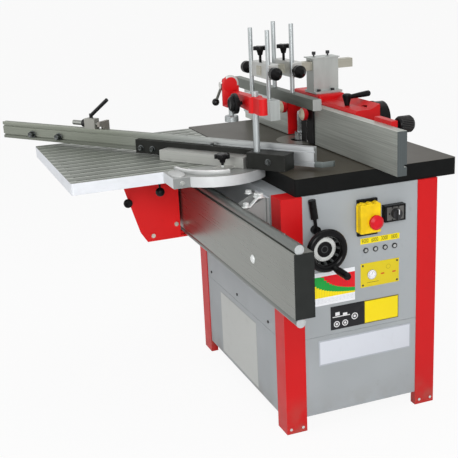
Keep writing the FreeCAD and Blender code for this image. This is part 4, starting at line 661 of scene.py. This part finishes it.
for label, (recipe, dressed) in FINISHES.items():
    made_finishes[label] = finish(label, recipe, shine=SHINE.get(label, PLAIN_SHINE))
    for name in dressed.split():
        for place in nodes[name].material_slots:
            place.material = made_finishes[label]
knob_black = made_finishes["black_plastic"]


# Modelling one by one: a primitive at its size and place, then edit-mode work
def deselect():
    bpy.ops.object.select_all(action="DESELECT")


def pick_all():
    bpy.ops.mesh.select_all(action="SELECT")


def settle():
    bpy.ops.object.transform_apply(location=True, rotation=True, scale=True)


def begin(name):
    """Takes the primitive just added, puts its place into its mesh and names it."""
    piece = bpy.context.object
    piece.name = name
    piece.data.name = name
    settle()
    return piece


def block(name, low, high):
    deselect()
    bpy.ops.mesh.primitive_cube_add(size=1, location=(low + high) / 2)
    bpy.context.object.scale = high - low
    return begin(name)


def turned_bar(name, foot, axis, radius, length, sides=48):
    deselect()
    bpy.ops.mesh.primitive_cylinder_add(vertices=sides, radius=mm(radius), depth=mm(length),
                                        location=foot + axis * mm(length / 2),
                                        rotation=axis.to_track_quat("Z", "Y").to_euler())
    return begin(name)


def pick(piece, test):
    """Goes into edit mode with only the faces selected that pass the test."""
    bpy.ops.object.mode_set(mode="EDIT")
    bpy.ops.mesh.select_mode(type="FACE")
    bpy.ops.mesh.select_all(action="DESELECT")
    mesh = bmesh.from_edit_mesh(piece.data)
    for face in mesh.faces:
        face.select_set(test(face))
    bmesh.update_edit_mesh(piece.data)


def facing(axis):
    """A test for faces that look along an axis."""
    return lambda face: face.normal.dot(axis) >= 0.98


def inset(rim):
    bpy.ops.mesh.inset(thickness=mm(rim), use_even_offset=True)


def push(step):
    bpy.ops.transform.translate(value=step / 1000)


def draw_out(step):
    bpy.ops.mesh.extrude_region_move(TRANSFORM_OT_translate={"value": step / 1000})


def shrink(share):
    bpy.ops.transform.resize(value=(share, share, share))


def grow(axis, *lengths_and_shares):
    """Draws the picked face out along an axis by each length, and resizes it by the share there."""
    for length, share in lengths_and_shares:
        draw_out(axis * length)
        shrink(share)


def field_inside(piece, axis, rim, rise):
    """Raises or sinks the middle of the face that looks along an axis, inside a rim."""
    pick(piece, facing(axis))
    inset(rim)
    push(axis * rise)


def leave():
    bpy.ops.object.mode_set(mode="OBJECT")


def join(piece, other):
    """Makes two pieces one, under the name of the first."""
    leave()
    deselect()
    other.select_set(True)
    piece.select_set(True)
    bpy.context.view_layer.objects.active = piece
    bpy.ops.object.join()
    return piece


def soften(piece, width, segments=2):
    """Rounds the sharp edges, applies the rounding and shades the piece."""
    leave()
    rounding = piece.modifiers.new("rounding", "BEVEL")
    rounding.width = mm(width)
    rounding.segments = segments
    rounding.limit_method = "ANGLE"
    rounding.angle_limit = math.radians(30)
    bpy.ops.object.modifier_apply(modifier=rounding.name)
    bpy.ops.object.shade_smooth_by_angle(angle=math.radians(40))
    return piece


def again(piece, name, step):
    """A copy with its own mesh, moved by a step in millimetres."""
    copy = piece.copy()
    copy.data = piece.data.copy()
    copy.name = name
    copy.data.name = name
    copy.data.transform(Matrix.Translation(step / 1000))
    bpy.context.collection.objects.link(copy)
    return copy


def dress(piece, material, body):
    piece.data.materials.clear()
    piece.data.materials.append(material)
    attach(piece, body)
    return piece


def spread(piece, label, steps, material, body):
    """Dresses a piece and its copies: one at each step from it, numbered from 2."""
    for order, step in enumerate(steps, 2):
        dress(again(piece, "%s_%d" % (label, order), step), material, body)
    dress(piece, material, body)


# Plates on the control panel: lowest and highest y, lowest and highest z
PLATES = {
    "speed_chart": (-175, -24, 441, 556),
    "meter_plate": (-3, 142, 477, 561),
    "picture_plate": (-115, 141, 347, 430),
    "name_plate": (-161, 190, 226, 317),
    "number_strip": (-3, 143, 628, 648),
}
PLATE_T, FIELD_T = 0.8, 0.4
PLATE_FACE = PANEL_SKIN + PLATE_T + FIELD_T


def sheet_plate(name, recipe, rim):
    """A thin plate with a raised field inside its rim."""
    y0, y1, z0, z1 = PLATES[name]
    plate = block(name, at(PANEL_SKIN, y0, z0), at(PANEL_SKIN + PLATE_T, y1, z1))
    field_inside(plate, OUT, rim, FIELD_T)
    soften(plate, 0.3)
    return dress(plate, finish(name + "_print", recipe, 0.3), "machine")


def chart_print(s):
    """A speed chart: three bands bounded by two falling curves, on ruled white paper."""
    y0, y1, z0, z1 = PLATES["speed_chart"]
    columns = 16
    u = (s.y - y0) / (y1 - y0)
    v = (s.z - z0) / (z1 - z0)
    column = u * columns
    bar = (column - column % 1) / columns
    upper = 0.2 + 0.215 / (bar + 0.145)
    lower = 0.12 + 0.235 / (bar + 0.48)
    field = v.within(0.24, 0.875)
    rows = ((v * 26) % 1 < 0.3) * ((u * 30) % 1 < 0.45) * v.within(0.05, 0.2) * u.within(0.03, 0.97)
    rules = (column % 1 < 0.1) * field
    colour = field.blend(tone(238, 240, 244), tone(226, 20, 34))
    colour = (field * (v < upper)).blend(colour, tone(24, 160, 62))
    colour = (field * (v < lower)).blend(colour, tone(250, 226, 14))
    return printed(s, (rows * 0.55).either(rules * 0.3).blend(colour, tone(70, 74, 88)))


def meter_print(s):
    """A yellow plate with plain marks beside its round window."""
    mark_z, mark_half, mark_runs = 516, 2.4, ((73, 86), (116, 129))
    rule_z, rule_half, rule_run = 492, 0.8, (20, 64)
    ring_y, ring_z, ring_r = 101, 537, (7, 8.4)
    marks = (abs(s.z - mark_z) < mark_half) * any_of(s.y.within(*run) for run in mark_runs)
    rule = (abs(s.z - rule_z) < rule_half) * s.y.within(*rule_run)
    ring = s.radius(s.y - ring_y, s.z - ring_z).within(*ring_r) * 0.5
    colour = marks.blend(tone(222, 200, 36), tone(206, 70, 26))
    return printed(s, rule.either(ring).blend(colour, tone(112, 96, 30)))


def border(across, up, box, wide):
    """A mask of a sheet's border, by the ends of the sheet across and up."""
    low, high, foot, top = box
    return 1 - across.within(low + wide, high - wide) * up.within(foot + wide, top - wide)


# Rings by y, z and radius; bars by their ends in y, their z and half their height
PICTURE_RINGS = ((-93, 366, 11), (-62, 366, 11), (-26, 383, 12))
PICTURE_BARS = ((-108, -44, 392, 1.6), (-98, -82, 402, 6), (-70, -54, 398, 4))


def picture_print(s):
    """Half black with plain white rings and bars, half yellow with a thin border."""
    ring_wide, dot_share, black_end = 3.4, 0.4, 6
    yellow_box = (10, 140.5, 348, 429)
    shapes = [(abs(s.z - z) < half) * s.y.within(y0, y1) for y0, y1, z, half in PICTURE_BARS]
    for ring_y, ring_z, ring_r in PICTURE_RINGS:
        out = s.radius(s.y - ring_y, s.z - ring_z)
        shapes.append(out.within(ring_r - ring_wide, ring_r).either(out < ring_r * dot_share))
    white = any_of(shapes) * (s.y < black_end)
    yellow = s.y > yellow_box[0]
    rule = yellow * border(s.y, s.z, yellow_box, wide=2.5)
    colour = yellow.blend(tone(22, 22, 26), tone(250, 224, 18))
    colour = rule.blend(colour, tone(120, 108, 30))
    return printed(s, white.blend(colour, tone(226, 226, 228)))


def name_print(s):
    """A bare pale plate with a thin border."""
    rule = border(s.y, s.z, PLATES["name_plate"], wide=5)
    return printed(s, (rule * 0.7).blend(tone(214, 218, 226), tone(158, 164, 172)))


def strip_print(s):
    return printed(s, tone(250, 228, 16))


chart = sheet_plate("speed_chart", chart_print, rim=1.2)
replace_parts(chart, "panel_plates")
sheet_plate("meter_plate", meter_print, rim=2)
sheet_plate("picture_plate", picture_print, rim=1)
sheet_plate("name_plate", name_print, rim=1.5)
sheet_plate("number_strip", strip_print, rim=0.8)

# Bare pale label on the lower front panel
LABEL_BOX = LABEL_X0, LABEL_X1, LABEL_Z0, LABEL_Z1 = -199, 159, 60, 311
LABEL_T = 0.5


def label_print(s):
    """Pale sheet with a thin border."""
    rule = border(s.x, s.z, LABEL_BOX, wide=4)
    return printed(s, (rule * 0.6).blend(tone(192, 195, 192), tone(170, 173, 172)))


front_label = block("front_label", at(LABEL_X0, FRONT_SKIN - LABEL_T, LABEL_Z0),
                    at(LABEL_X1, FRONT_SKIN, LABEL_Z1))
field_inside(front_label, FRONT, rim=2, rise=0.2)
soften(front_label, 0.1)
dress(front_label, finish("front_label_print", label_print, 0.2), "machine")

# The four speeds over the lamps, as ink of a hair's thickness
LAMP_Y, LAMP_Z, LAMP_GAP = 16, 606, 36
DIGITS_Y, DIGITS_Z, DIGIT_TALL, DIGIT_WIDE_SHARE, INK_T = LAMP_Y - 15, 632, 20, 0.64, 0.1
ink = finish("black_ink", lambda s: moulded(s, (30, 28, 26), 0.5), 0.1)
for order, speed in enumerate(("9000", "6000", "3000", "1800")):
    deselect()
    bpy.ops.object.text_add(location=at(PLATE_FACE, DIGITS_Y + LAMP_GAP * order, DIGITS_Z),
                            rotation=(math.pi / 2, 0, math.pi / 2))
    text = bpy.context.object
    text.data.body = speed
    text.data.size = mm(DIGIT_TALL)
    text.scale = (DIGIT_WIDE_SHARE, 1, 1)
    text.data.extrude = mm(INK_T)
    text.data.resolution_u = 3
    bpy.ops.object.convert(target="MESH")
    dress(begin("speed_" + speed), ink, "machine")

# Signal lamps: a bezel ring with a domed lens
def lamp_finish(s):
    """A dark bezel round a clear domed lens, one of four in a row."""
    half_gap, lens_r = LAMP_GAP / 2, 5.6
    out = s.radius((s.y - LAMP_Y + half_gap) % LAMP_GAP - half_gap, s.z - LAMP_Z)
    return dull_black(s, (50, 52, 54), 0.3).under(out < lens_r, moulded(s, (178, 181, 180), 0.14))


lamp = turned_bar("lamp_1", at(PANEL_SKIN, LAMP_Y, LAMP_Z), OUT, radius=9, length=4)
field_inside(lamp, OUT, rim=2.6, rise=-2)
inset(0.3)
grow(OUT, (2.2, 0.86), (0.9, 0.6))
soften(lamp, 0.5)
spread(lamp, "lamp", [BACK * LAMP_GAP * order for order in range(1, 4)],
       finish("lamp_metal", lamp_finish, 0.3), "machine")

# Round window of the meter, with its bezel and a sunken white face
METER_Y, METER_Z = 38, 519


def dial_face(s):
    """A white face with ticks and a needle, in a bright bezel."""
    face_r, tick_r, tick_low = 14.6, (10, 13), -8
    needle_lean, needle_half, needle_run = 0.4, 0.6, (-2, 10)
    dy, dz = s.y - METER_Y, s.z - METER_Z
    out = s.radius(dy, dz)
    ticks = ((s.turn(dy, dz) % 30) < 5) * out.within(*tick_r) * (dz > tick_low)
    needle = (abs(dy - dz * needle_lean) < needle_half) * dz.within(*needle_run)
    face = moulded(s, (236, 236, 238), 0.2).under(ticks.either(needle), moulded(s, (60, 60, 62)))
    return plated(s, (190, 190, 186), 0.2).under(out < face_r, face)


dial = turned_bar("meter_dial", at(PLATE_FACE, METER_Y, METER_Z), OUT, radius=17, length=3, sides=64)
field_inside(dial, OUT, rim=2.2, rise=-1.2)
soften(dial, 0.4)
dress(dial, finish("meter_face", dial_face, 0.3), "machine")

# Lock knob on the outer edge of the sliding table's bracket
BRACKET_KNOB = (-199, -622, 714.5)
knob = turned_bar("bracket_knob", at(*BRACKET_KNOB), OUT, radius=5, length=10, sides=40)
pick(knob, facing(OUT))
grow(OUT, (4, 3.1), (9, 1.06), (4, 0.8))
inset(6.5)
push(OUT * -1.5)
soften(knob, 1.2, 3)
dress(knob, knob_black, "slider")

# Ribs in the dish of the handwheel: one leaning wedge, spun round the shaft
RIB_COUNT, RIB_IN, RIB_OUT, RIB_HALF, RIB_LEAN = 12, 41, 54, 3.5, 17
RIB_X0, RIB_X1, SPIN_X = 466, 489, 440
ribs = block("wheel_ribs", at(RIB_X0, WHEEL_Y + RIB_IN, WHEEL_Z - RIB_HALF),
             at(RIB_X1, WHEEL_Y + RIB_OUT, WHEEL_Z + RIB_HALF))
pick(ribs, facing(BACK))
push(OUT * RIB_LEAN)
pick_all()
bpy.ops.mesh.spin(steps=RIB_COUNT - 1, dupli=True, angle=math.tau * (RIB_COUNT - 1) / RIB_COUNT,
                  center=at(SPIN_X, WHEEL_Y, WHEEL_Z), axis=OUT)
pick_all()
bpy.ops.mesh.normals_make_consistent(inside=False)
soften(ribs, 0.8)
# The ribs are the wheel's black plastic, painted a lighter grey as a painted highlight so that they show in
# the dark dish.
rib_highlight_plastic = finish("rib_highlight_plastic", lambda s: moulded(s, (62, 65, 65), 0.2), shine=0.3)
dress(ribs, rib_highlight_plastic, "handwheel_unit")

# Moulded lugs along the top of the switch lid
LID_LUG_LOW, LID_LUG_HIGH, LID_LUG_GAP = (421, -15, 771.6), (442, -3, 774), 24
lug = block("lid_lug_1", at(*LID_LUG_LOW), at(*LID_LUG_HIGH))
pick(lug, facing(UP))
inset(1.5)
grow(UP, (2.6, 0.9))
soften(lug, 1, 3)
spread(lug, "lid_lug", [BACK * LID_LUG_GAP, BACK * LID_LUG_GAP * 2], made_finishes["lid_plastic"],
       "lid")

# Screws of the rear and left sheets: where each grid starts, and how it runs
SHEET_SCREWS = (("rear_screw", at(-300, REAR_SKIN, 70), BACK, OUT * 300),
                ("left_screw", at(LEFT_SKIN, -175, 70), LEFT, BACK * 175))
SCREW_ROWS, SCREW_COLUMNS = (0, 350, 700), (0, 1, 2)


def sheet_screw(name, foot, axis):
    """A low domed head with a sunken round in it."""
    screw = turned_bar(name, foot, axis, radius=5.5, length=1.6, sides=32)
    pick(screw, facing(axis))
    grow(axis, (1.2, 0.72))
    inset(1.2)
    push(axis * -0.8)
    return soften(screw, 0.3)


screw_black = finish("screw_black", small_black, 0.3)
for label, foot, axis, across in SHEET_SCREWS:
    steps = [across * column + UP * row for row in SCREW_ROWS for column in SCREW_COLUMNS]
    spread(sheet_screw(label + "_1", foot, axis), label, steps[1:], screw_black, "machine")

# Hexagon bolts with washers
WASHER_T, HEAD_SINK = 2, 0.2


def hex_bolt(name, foot, axis, corner, tall, washer):
    """A washer with a chamfered hexagon head on it; corner and washer are radii."""
    bolt = turned_bar(name, foot, axis, washer, WASHER_T, sides=36)
    pick(bolt, facing(axis))
    shrink(0.96)
    leave()
    head = turned_bar(name + "_head", foot + axis * mm(WASHER_T - HEAD_SINK), axis, corner, tall, sides=6)
    field_inside(head, axis, corner * 0.14, tall * 0.12)
    inset(corner * 0.3)
    push(axis * (tall * -0.1))
    return soften(join(bolt, head), 0.5)


zinc = finish("zinc_bolts", lambda s: metal(s, "zinc"), 0.4)
BRACKET_BOLT_STEPS = (Vector((52, 8, 0)), Vector((-478, 8, 0)), Vector((-530, 0, 0)))
bolt = hex_bolt("bracket_bolt_1", at(232, -318, BRACKET_TOP), UP, corner=11, tall=9, washer=14)
spread(bolt, "bracket_bolt", BRACKET_BOLT_STEPS, zinc, "machine")
BEAM_FRONT, BEAM_NUT_X, BEAM_NUT_Z, BEAM_NUT_GAP = -420, 504, 678, 1064
nut = hex_bolt("beam_nut_1", at(BEAM_NUT_X, BEAM_FRONT, BEAM_NUT_Z), FRONT, corner=10.5, tall=3.2, washer=14)
spread(nut, "beam_nut", [LEFT * BEAM_NUT_GAP], zinc, "machine")

# Pressed louvres in the left sheet, beside the motor
LOUVRE_LOW, LOUVRE_HIGH = (-408, -80, 300), (-406.8, 80, 313)
LOUVRE_COUNT, LOUVRE_GAP = 7, 24
louvre = block("louvre_1", at(*LOUVRE_LOW), at(*LOUVRE_HIGH))
pick(louvre, facing(LEFT))
inset(1.5)
for out, wide_share, tall_share, drop in ((2.5, 0.96, 0.7, 1.5), (1.5, 0.97, 0.6, 1)):
    draw_out(LEFT * out)
    bpy.ops.transform.resize(value=(1, wide_share, tall_share))
    push(UP * -drop)
soften(louvre, 0.8)
spread(louvre, "louvre", [UP * LOUVRE_GAP * order for order in range(1, LOUVRE_COUNT)],
       made_finishes["grey_enamel"], "machine")

# Dark bolts of the mitre fence, its strip and the clamp's post, some with a second one at a gap
dark_bolts = finish("dark_bolts", lambda s: plated(s, (80, 83, 83), 0.24), 0.4)
for label, place, axis, corner, tall, washer, gap in (
        ("strip_bolt", (-336, 27, 899), FRONT_OF_MITRE, 9.5, 7, 12.5, 52),
        ("post_bolt", (222, -16, 904), FRONT_OF_MITRE, 8, 7, 11, None),
        ("fence_bolt", (-896, 47, 908), FRONT_OF_MITRE, 12, 14, 15, 141),
        ("strip_nut", (-30, 36, 930), UP, 7, 7, 8, None)):
    first = hex_bolt(label + "_1" if gap else label, on_mitre(*place), axis, corner, tall, washer)
    spread(first, label, [ALONG_MITRE * gap] if gap else [], dark_bolts, "mitre")

# Lobed hand knobs on flared hubs, in place of the plain turned ones
LOBE_TURN, LOBE_START, LOBE_END, LOBE_OUT = 72, 17, 55, 6.5
KNOB_TALL, HUB_R, STEM_RIM = 12, 13, 3.4
STUD_TOP = 890.5


def star_knob(name, foot, stem, hub, radius):
    """A head with five lobes, a flared hub under it and a stem down to its foot."""
    head = turned_bar(name, foot + UP * mm(stem + hub), UP, radius, KNOB_TALL, sides=40)

    def lobe(face):
        place = face.calc_center_median() - foot
        turn = math.degrees(math.atan2(place.y, place.x)) % LOBE_TURN
        return abs(face.normal.z) < 0.1 and LOBE_START < turn < LOBE_END
    pick(head, lobe)
    bpy.ops.mesh.extrude_region_shrink_fatten(TRANSFORM_OT_shrink_fatten={"value": mm(LOBE_OUT)})
    field_inside(head, UP, rim=3.5, rise=2)
    pick(head, lambda face: len(face.verts) > 8 and face.normal.z < -0.98)
    inset(radius - HUB_R)
    grow(UP, (hub * -0.5, 0.8), (hub * -0.5, 0.8))
    inset(STEM_RIM)
    draw_out(UP * -stem)
    return soften(head, 1.2, 3)


def knob_on_stud(s):
    """A black knob on a bright stud."""
    return black_knob(s).under(s.z < STUD_TOP, metal(s, "stud"))


stud_knob = finish("knob_on_stud", knob_on_stud, shine=BLACK_SHINE)
for label, foot, stem, hub, radius, body, look in (
        ("star_back", at(PRESSER_X, -20, 1178), 26, 18, 18, "back_star", knob_black),
        ("star_front", at(PRESSER_X, -111, 1178), 26, 18, 18, "front_star", knob_black),
        ("mitre_knob", on_mitre(71, -56, 868), 31, 15, 20, "mitre_lock", stud_knob)):
    lobed = dress(star_knob(label + "_lobed", foot, stem, hub, radius), look, body)
    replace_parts(lobed, label)

# Clamp lever of the hood: a flared foot with a long tapered grip
LEVER_FOOT, LEVER_HEAD = (95, 118, 1030), (95, 120, 1059)
GRIP = Vector((0, 1, 0.07)).normalized()
lever_foot = turned_bar("hood_lever_foot", at(*LEVER_FOOT), UP, radius=9, length=5, sides=40)
pick(lever_foot, facing(UP))
grow(UP, (27, 1.8), (6, 1), (4, 0.62))
leave()
lever_grip = turned_bar("hood_lever_grip", at(*LEVER_HEAD), GRIP, radius=8, length=22, sides=40)
pick(lever_grip, facing(GRIP))
grow(GRIP, (48, 1.3), (14, 1), (5, 0.6))
soften(join(lever_grip, lever_foot), 1.4, 3)
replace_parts(dress(lever_grip, knob_black, "hood_lock"), "hood_lever")

# Raised guide rim round the segment, and the rounded cap on its lug
RIM_IN, RIM_OUT, RIM_SWEEP, RIM_STEPS = 138, 150, 84, 56
RIM_FOOT, RIM_TOP, RIM_START = 874.6, 888, 0.5
LUG_CAP = (132, -529, 874.6)


def rim_metal(s):
    """A pale cast wall with a brighter top."""
    return metal(s, "rim_wall").under(s.z > RIM_TOP - MASK_LAP, metal(s, "rim_top"))


rim = block("segment_rim", at(PIVOT_X + RIM_IN, PIVOT_Y - RIM_START, RIM_FOOT),
            at(PIVOT_X + RIM_OUT, PIVOT_Y + RIM_START, RIM_TOP))
pick(rim, facing(BACK))
bpy.ops.mesh.delete(type="FACE")
pick(rim, facing(FRONT))
bpy.ops.mesh.spin(steps=RIM_STEPS, angle=math.radians(RIM_SWEEP), center=at(PIVOT_X, PIVOT_Y, 0), axis=UP)
pick_all()
bpy.ops.mesh.remove_doubles(threshold=mm(0.01))
bpy.ops.mesh.fill_holes(sides=4)
bpy.ops.mesh.normals_make_consistent(inside=False)
soften(rim, 1.2)
cast_rim = finish("rim_casting", rim_metal, 0.6)
dress(rim, cast_rim, "slider")
lug_cap = turned_bar("lug_cap", at(*LUG_CAP), UP, radius=25, length=4)
pick(lug_cap, facing(UP))
inset(3)
grow(UP, (3, 0.8))
pick_all()
bpy.ops.transform.resize(value=(2, 1, 1), center_override=at(*LUG_CAP))
soften(lug_cap, 1.6, 3)
dress(lug_cap, cast_rim, "slider")

# Forged tongue at the head of the work clamp, with a bare rim round its top
TONGUE_Y, TONGUE_Z, TONGUE_R = -276.4, 1131, 30
TONGUE_X0, TONGUE_X1, TONGUE_FOOT, TONGUE_STEP = -3.8, 1.4, 1062, 1090
CROWN_RIM = 6
tongue = block("clamp_tongue", at(TONGUE_X0, TONGUE_Y - TONGUE_R, TONGUE_FOOT),
               at(TONGUE_X1, TONGUE_Y + TONGUE_R, TONGUE_Z))
pick(tongue, lambda face: True)
bpy.ops.mesh.bisect(plane_co=at(0, 0, TONGUE_STEP), plane_no=UP)
pick(tongue, lambda face: face.normal.x < -0.98 and face.calc_center_median().z < mm(TONGUE_STEP))
draw_out(OUT * -3.6)
leave()
crown = turned_bar("clamp_crown", at(TONGUE_X0, TONGUE_Y, TONGUE_Z), OUT, TONGUE_R, TONGUE_X1 - TONGUE_X0,
                   sides=56)
field_inside(crown, OUT, CROWN_RIM, rise=1.6)
soften(join(tongue, crown), 1)


def tongue_paint(s):
    """Red enamel, bare where the rim was ground."""
    bare_foot, bare_front = 1125, -292.4
    rim = s.radius(s.y - TONGUE_Y, s.z - TONGUE_Z) > TONGUE_R - CROWN_RIM - MASK_LAP
    bare = rim * (s.z > bare_foot) * (s.y > bare_front)
    return red_paint(s).under(bare, metal(s, "casting"))


dress(tongue, finish("clamp_tongue_paint", tongue_paint), "clamp")

# Raised boss on the outer face of the clamp's round knob
BOSS_FOOT = (112.4, -315.2, 1082)
knob_boss = turned_bar("clamp_knob_boss", at(*BOSS_FOOT), FRONT, radius=26, length=4)
pick(knob_boss, facing(FRONT))
grow(FRONT, (5, 0.82), (2, 0.8))
inset(5)
push(FRONT * -2.5)
soften(knob_boss, 1.2, 3)
dress(knob_boss, knob_black, "clamp_screw")

# Low bent nose that carries on the lower edge of the mitre fence
NOSE_L, NOSE_T, NOSE_FOOT, NOSE_TOP = 26, 11, 884.5, 902
NOSE_BEND = Vector((26, 32, 0))
NOSE_ALONG, NOSE_ACROSS = 356.2, 50.5
nose = block("fence_nose", Vector((0, 0, mm(NOSE_FOOT))), Vector((mm(NOSE_L), mm(NOSE_T), mm(NOSE_TOP))))
pick(nose, facing(OUT))
draw_out(NOSE_BEND)
leave()
nose.rotation_euler = (0, 0, MITRE_ANGLE)
nose.location = on_mitre(NOSE_ALONG, NOSE_ACROSS, 0)
settle()
soften(nose, 0.8)
nose_look = finish("fence_nose_metal", lambda s: metal(s, "nose", MITRE_ANGLE), 0.5)
dress(nose, nose_look, "mitre")

# Straps that hold the rear edge of the beam to its brackets, with a bolt at each end
STRAP_LOW, STRAP_HIGH = (297, -372, 780.2), (315, -346, 784.2)
STRAP_RISE, STRAP_END = Vector((0, 28, 25)), BACK * 24
STRAP_BOLT = (306, -358, 784.2)
TO_HIGH_BOLT = Vector((0, 51, 25))
TO_LEFT_STRAP = Vector((-579, 0, 0))
strap = block("beam_strap_1", at(*STRAP_LOW), at(*STRAP_HIGH))
pick(strap, facing(BACK))
draw_out(STRAP_RISE)
draw_out(STRAP_END)
soften(strap, 0.8)
spread(strap, "beam_strap", [TO_LEFT_STRAP], zinc, "machine")
low_bolt = hex_bolt("beam_bolt_1", at(*STRAP_BOLT), UP, corner=10.5, tall=9, washer=11)
spread(low_bolt, "beam_bolt", [TO_HIGH_BOLT, TO_LEFT_STRAP, TO_LEFT_STRAP + TO_HIGH_BOLT], zinc, "machine")


# Studio: pale floor, white surroundings, soft lamps, the photograph's camera
def straight_rays(start):
    """A mask of the rays that show a thing, also in a mirror or through glass."""
    return any_of(start.node("LightPath", {}, {}, "Is %s Ray" % kind)
                  for kind in ("Camera", "Glossy", "Transmission"))


def studio_floor():
    deselect()
    bpy.ops.mesh.primitive_plane_add(size=120)
    floor = begin("floor")
    material = bpy.data.materials.new("pale_floor")
    start = Wire(empty_tree(material))
    matt = start.node("BsdfDiffuse", {}, {"Color": tone(238, 238, 238)})
    white = start.node("Emission", {}, {"Color": (1, 1, 1, 1), "Strength": 1.0})
    shader = start.node("MixShader", {}, {0: straight_rays(start) * 0.92, 1: matt, 2: white})
    start.node("OutputMaterial", {}, {"Surface": shader})
    floor.data.materials.append(material)


def surroundings():
    world = bpy.data.worlds.new("white_studio")
    start = Wire(empty_tree(world))
    light = start.node("Background", {}, {"Color": (1, 1, 1, 1), "Strength": 0.42})
    shown = start.node("Background", {}, {"Color": (1, 1, 1, 1), "Strength": 1.0})
    shader = start.node("MixShader", {}, {0: straight_rays(start), 1: light, 2: shown})
    start.node("OutputWorld", {}, {"Surface": shader})
    bpy.context.scene.world = world


def soft_lamp(name, place, target, size, watts):
    """A square lamp; its place, target and size are in metres."""
    lamp_data = bpy.data.lights.new(name, "AREA")
    lamp_data.size = size
    lamp_data.energy = watts
    lamp_object = bpy.data.objects.new(name, lamp_data)
    lamp_object.location = place
    lamp_object.rotation_euler = (Vector(target) - Vector(place)).to_track_quat("-Z", "Y").to_euler()
    bpy.context.collection.objects.link(lamp_object)


def photo_camera():
    """The camera, found by fitting the cabinet's edges to the photograph; angles in radians."""
    place = at(2903.954, -1372.181, 1565.428)
    yaw, pitch, roll = 1.21923346, 0.29697397, -0.0487093
    lens, sensor = 71.481, 36
    right = Vector((math.cos(yaw), math.sin(yaw), 0))
    ahead = Vector((-math.sin(yaw), math.cos(yaw), 0))
    look = ahead * math.cos(pitch) - UP * math.sin(pitch)
    lift = ahead * math.sin(pitch) + UP * math.cos(pitch)
    across = right * math.cos(roll) + lift * math.sin(roll)
    upward = lift * math.cos(roll) - right * math.sin(roll)
    camera_data = bpy.data.cameras.new("camera")
    camera_data.sensor_width = sensor
    camera_data.lens = lens
    camera = bpy.data.objects.new("camera", camera_data)
    bpy.context.collection.objects.link(camera)
    turn = Matrix((across, upward, -look)).transposed().to_4x4()
    camera.matrix_world = Matrix.Translation(place) @ turn
    bpy.context.scene.camera = camera


studio_floor()
surroundings()
soft_lamp("key", (3.5, -1.0, 1.9), target=(0, 0.1, 0.7), size=1.6, watts=78)
soft_lamp("fill", (-0.4, -3.4, 1.8), target=(0, 0.1, 0.7), size=2.4, watts=25)
soft_lamp("top", (-0.4, 0.6, 3.6), target=(0, 0.2, 0.8), size=2.4, watts=20)
photo_camera()
bpy.context.scene.view_settings.view_transform = "Standard"
